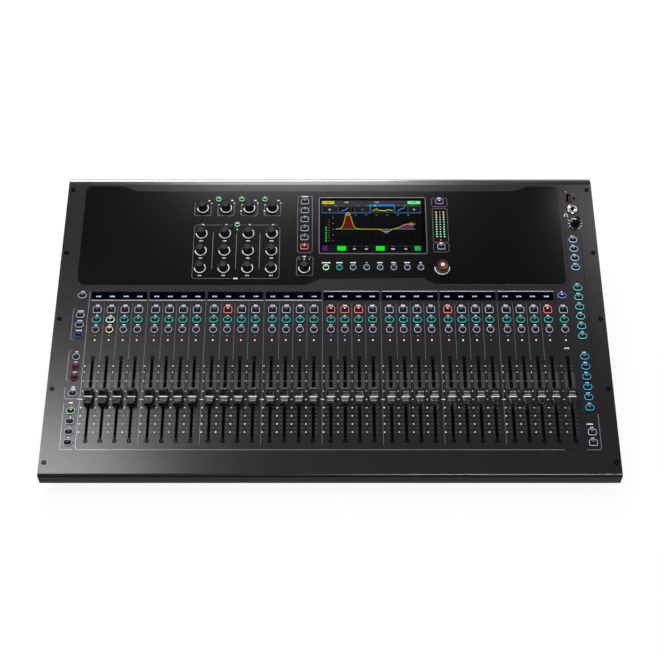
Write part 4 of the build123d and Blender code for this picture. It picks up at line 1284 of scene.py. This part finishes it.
bracket(-375.3, 202.4, 253.2, 3.8, 3.4)
bracket(-375.3, 138.5, 186.5, 4.2, 3.4)
bracket(-354.3, 226.0, 244.0, -0.8, 0.6)
draw([(-376.0, 128.1), *arc_line(-372.5, 114.1, 3.4, 180, 270, 5), (frame_left, 110.7)], 0.6)
draw([(-375.5, 104.3), *arc_line(-371.7, 37.9, 3.4, 180, 270, 5), (-356.6, 34.5)], 0.6)

# Outlines of the upper panel: boxes round the knobs of a channel, the screen's keys and the meter.
print_level = plate_level
ring_reach = 8.1
ring_width = 1.05
box_corner, box_low, box_high = 3, 410.8, 436.0


def knob_ring(x, y, start, end, reach=ring_reach, steps=24):
    """The printed scale of a knob, an arc between two angles in degrees."""
    draw(arc_line(x, y, reach, start, end, steps), ring_width, white)


for n, spot in enumerate(preamp_spots):
    left, right, inner = spot.x - 12.2, spot.x + 12.6, box_corner
    path = [(left, (434.0, 427.0, 416.0, 416.0)[n]), (left, box_low + inner)]
    path += arc_line(left + inner, box_low + inner, inner, 180, 270, 5)
    path += arc_line(right - inner, box_low + inner, inner, 270, 360, 5)
    end = arc_line(right - inner, box_high - inner, inner, 0, 75, 5) if n else [(right, box_high - 8)]
    draw(path + end, 0.6, dim)
    write(100 if n else 48, spot.x + 9.0, 438.0 if n else 437.4, 1.9)
    if n:
        write(12, left + 1.2, 430.2, 1.7)
    if n > 1:
        draw([(left, 428.2), (left, 421.4)], 0.5, dim)
        write(24, left, 419.2, 1.8)
    knob_ring(spot.x, spot.y, 180, 395)
    draw(arc_line(spot.x, spot.y, ring_reach + 0.6, 105, 150, 8), 0.6)
    draw(arc_line(spot.x, spot.y, ring_reach + 0.6, 60, 85, 6), 0.6)
    write(12 * n + 10, spot.x + 12.8, 433.0, 1.7)

eq_left, eq_right, eq_low, eq_high, turn_in = -204.9, -75.6, 302.7, 394.4, 4
path = [(eq_left + 12, eq_high), *arc_line(eq_left + turn_in, eq_high - turn_in, turn_in, 90, 180, 6)]
path += arc_line(eq_left + turn_in, eq_low + turn_in, turn_in, 180, 270, 6)
draw([*path, (-147.0, eq_low)], 0.65, dim)
path = [(-133.0, eq_low), *arc_line(eq_right - turn_in, eq_low + turn_in, turn_in, 270, 360, 6)]
draw([*path, *arc_line(eq_right - box_corner, 388.0, box_corner, 0, 60, 4)], 0.65, dim)
for start, end in ((-188.4, -162.7), (-152.6, -147.1), (-133.4, -127.9), (-116.8, -91.1), (-83.0, -78.5)):
    draw([(start, eq_high), (end, eq_high)], 0.65, dim)
eq_columns = sorted({round(spot.x, 1) for spot in eq_spots})
eq_rows = sorted({round(spot.y, 1) for spot in eq_spots})
for low, high in zip(eq_columns, eq_columns[1:]):
    draw([((low + high) / 2, 319.4), ((low + high) / 2, 381.0)], 0.6)
write(4200, (eq_left + eq_right) / 2, eq_low, 2.6)
write(12, -140.2, 386.6, 1.8)
for k, x in enumerate(eq_columns):
    write(110 + k, x + 1.5, eq_high + 0.6, 2.1)
    for row, number in zip(eq_rows, (2010, 4020, 10000)):
        knob_ring(x, row, 180, 405)
        draw(arc_line(x, row, ring_reach + 0.6, 110, 160, 8), 0.5)
        write(number + k, x, row - 13.0, 2.2)


def label_box(left, right, low, high, gap=0.0):
    """A rounded box with room for a number in the middle of its top line."""
    x = (left + right) / 2
    path = [(x + gap / 2, high)]
    near, far, foot, head = left + box_corner, right - box_corner, low + box_corner, high - box_corner
    for n, middle in enumerate(((far, head), (far, foot), (near, foot), (near, head))):
        path += arc_line(*middle, box_corner, 90 - 90 * n, -90 * n, 5)
    draw([*path, (x - gap / 2, high)], 0.6, dim)


plate_keys = solids_of("screen_panel_keys")
soft_keys = [spot for spot in plate_keys if -45 < spot.x < -30]
label_box(-49.0, -26.8, 346.6, 445.0, 13.0)
write(1000600200, soft_keys[0].x, 445.0, 1.8)
for n, spot in enumerate(soft_keys[::-1], 1):
    write(n, spot.x, spot.y + spot.depth / 2 + 1.9, 1.7)
label_box(-50.0, -25.4, 307.8, 339.0, 10.0)
write(1050, pan_spot.x, 340.0, 1.9)
write(1, pan_spot.x - 7.6, 335.6, 1.7)
write(2, pan_spot.x + 7.6, 335.6, 1.7)
knob_ring(pan_spot.x, pan_spot.y, 168, 372)
knob_ring(dial_spot.x, dial_spot.y, 172, 368, 10.9, 32)
function_keys = [spot for spot in plate_keys if -10 < spot.x < 140]
for n, (spot, size) in enumerate(zip(function_keys, (11, 8, 7, 2, 7, 6, 7, 3)), 1):
    write(n * 10 ** (size - 1), spot.x, 329.4, 1.9)
label_box(155.4, 178.9, 427.0, 442.2, 12.0)
label_box(155.4, 178.7, 347.8, 363.2, 9.0)
label_box(155.6, 178.4, 364.6, 424.0)
write(10010, dial_spot.x, 442.2, 1.9)
write(4800, dial_spot.x, 363.2, 1.9)


# Meter. Two columns of small square lamps under clear film, with a peak lamp below them, and
# the single lamps beside the pan knob and the memory socket.
meter_skins = [
    glowing("meter_green", (130, 236, 146), 1.1),
    glowing("meter_yellow", (240, 220, 130), 1.1),
    glowing("peak_red", (255, 50, 40), 1.3),
    glowing("lamp_yellow", (196, 192, 84), 0.7),
]
meter_lamps = Draft()
meter_rows, meter_low, meter_pitch = 11, 374.2, 4.25
square_lamp = block(1.9, 1.7, 0.4, [(0, -0.1), (0, 0.15), (0.3, 0.35)], 3)
for row in range(meter_rows):
    height = meter_low + meter_pitch * row
    for side in (-1, 1):
        tint = 0 if row < meter_rows - 3 else 1
        meter_lamps.stamp(square_lamp, dial_spot.x + side * 5.6, height, plate_level, coat=tint)
    write((meter_rows - 1 - row) * 6, dial_spot.x, height, 1.6)
meter_lamps.stamp(lamp_dome, dial_spot.x, 368.2, plate_level, coat=2)
meter_lamps.stamp(lamp_dome, pan_spot.x, 335.4, plate_level, coat=0)
meter_lamps.stamp(lamp_dome, 362.0, 454.0, coat=3)
settle(meter_lamps, "meter_lamps", "console", meter_skins)

# Marks of the phones socket: a ring of short rules round the level knob and a small headband sign.
print_level = 0.0
for n in range(11):
    turn = radians(240 - 30 * n)
    draw([(level_spot.x + r * cos(turn), level_spot.y + r * sin(turn)) for r in (8.2, 11.0)], 0.8, white)
draw(arc_line(359.0, 412.6, 2.3, -35, 215, 12), 0.6, white)
for side in (-1, 1):
    draw([(359.0 + side * 2.1, 411.6), (359.0 + side * 2.1, 409.8)], 1.2, white)
draw([(359.2, 420.6), (359.4, 417.2)], 0.5)
draw([(359.6, 407.4), (362.2, 403.4)], 0.5)
write(20, 373.0, 450.0, 2.0, grey)

# Dark outlines round the right columns and the main strip, and a light one round the last two keys.
right_edge, left_edge, main_edge, turn_in = 377.6, 354.4, 330.6, 3.0
outline = [(right_edge, 90.0)]
for x, y, start, end in (
    (right_edge - turn_in, 377.7, 0, 90),
    (left_edge + turn_in, 377.7, 90, 180),
    (left_edge - turn_in, 294.6, 0, -90),
    (main_edge + turn_in, 288.6, 90, 180),
    (main_edge - turn_in, 37.4, 0, -90),
):
    outline += arc_line(x, y, turn_in, start, end, 5)
draw([*outline, (frame_right, frame_front)], 0.75, shade)
draw([(right_edge, 90.0), (left_edge, 90.0), (left_edge, 37.0), (main_edge, frame_front)], 0.75, shade)
light_corner = arc_line(right_edge - 4.2, 37.4, turn_in, 0, -90, 5)
draw([(right_edge - 1.2, 88.0), *light_corner, (356.5, frame_front)], 0.7)
settle(panel_print, "panel_printing", "console", print_skins)


# Screws. Black countersunk screws hold each fader's track at both ends of its slot, and larger
# button-head screws hold the top sheet to the side walls. Their sockets show a paler middle.
screw_pit = finish("screw_pit", (5, 5, 5), 0.9, shine=0.0, **thin)
screws = Draft()
track_screw = screw_form(3.2, 0.35, 1.3, 1)
case_screw = screw_form(3.3, 0.9, 1.4, 1)
for spot in every_strip:
    for row in (47.5, 173.8):
        screws.stamp(track_screw, spot.x, row, turn=spot.x * 7)
for x in (-394.5, 394.5):
    for row in (15.7, 126.1, 236.5, 346.9, 457.3):
        screws.stamp(case_screw, x, row, turn=row)
settle(screws, "panel_screws", "console", [screw_pit, case_coat])
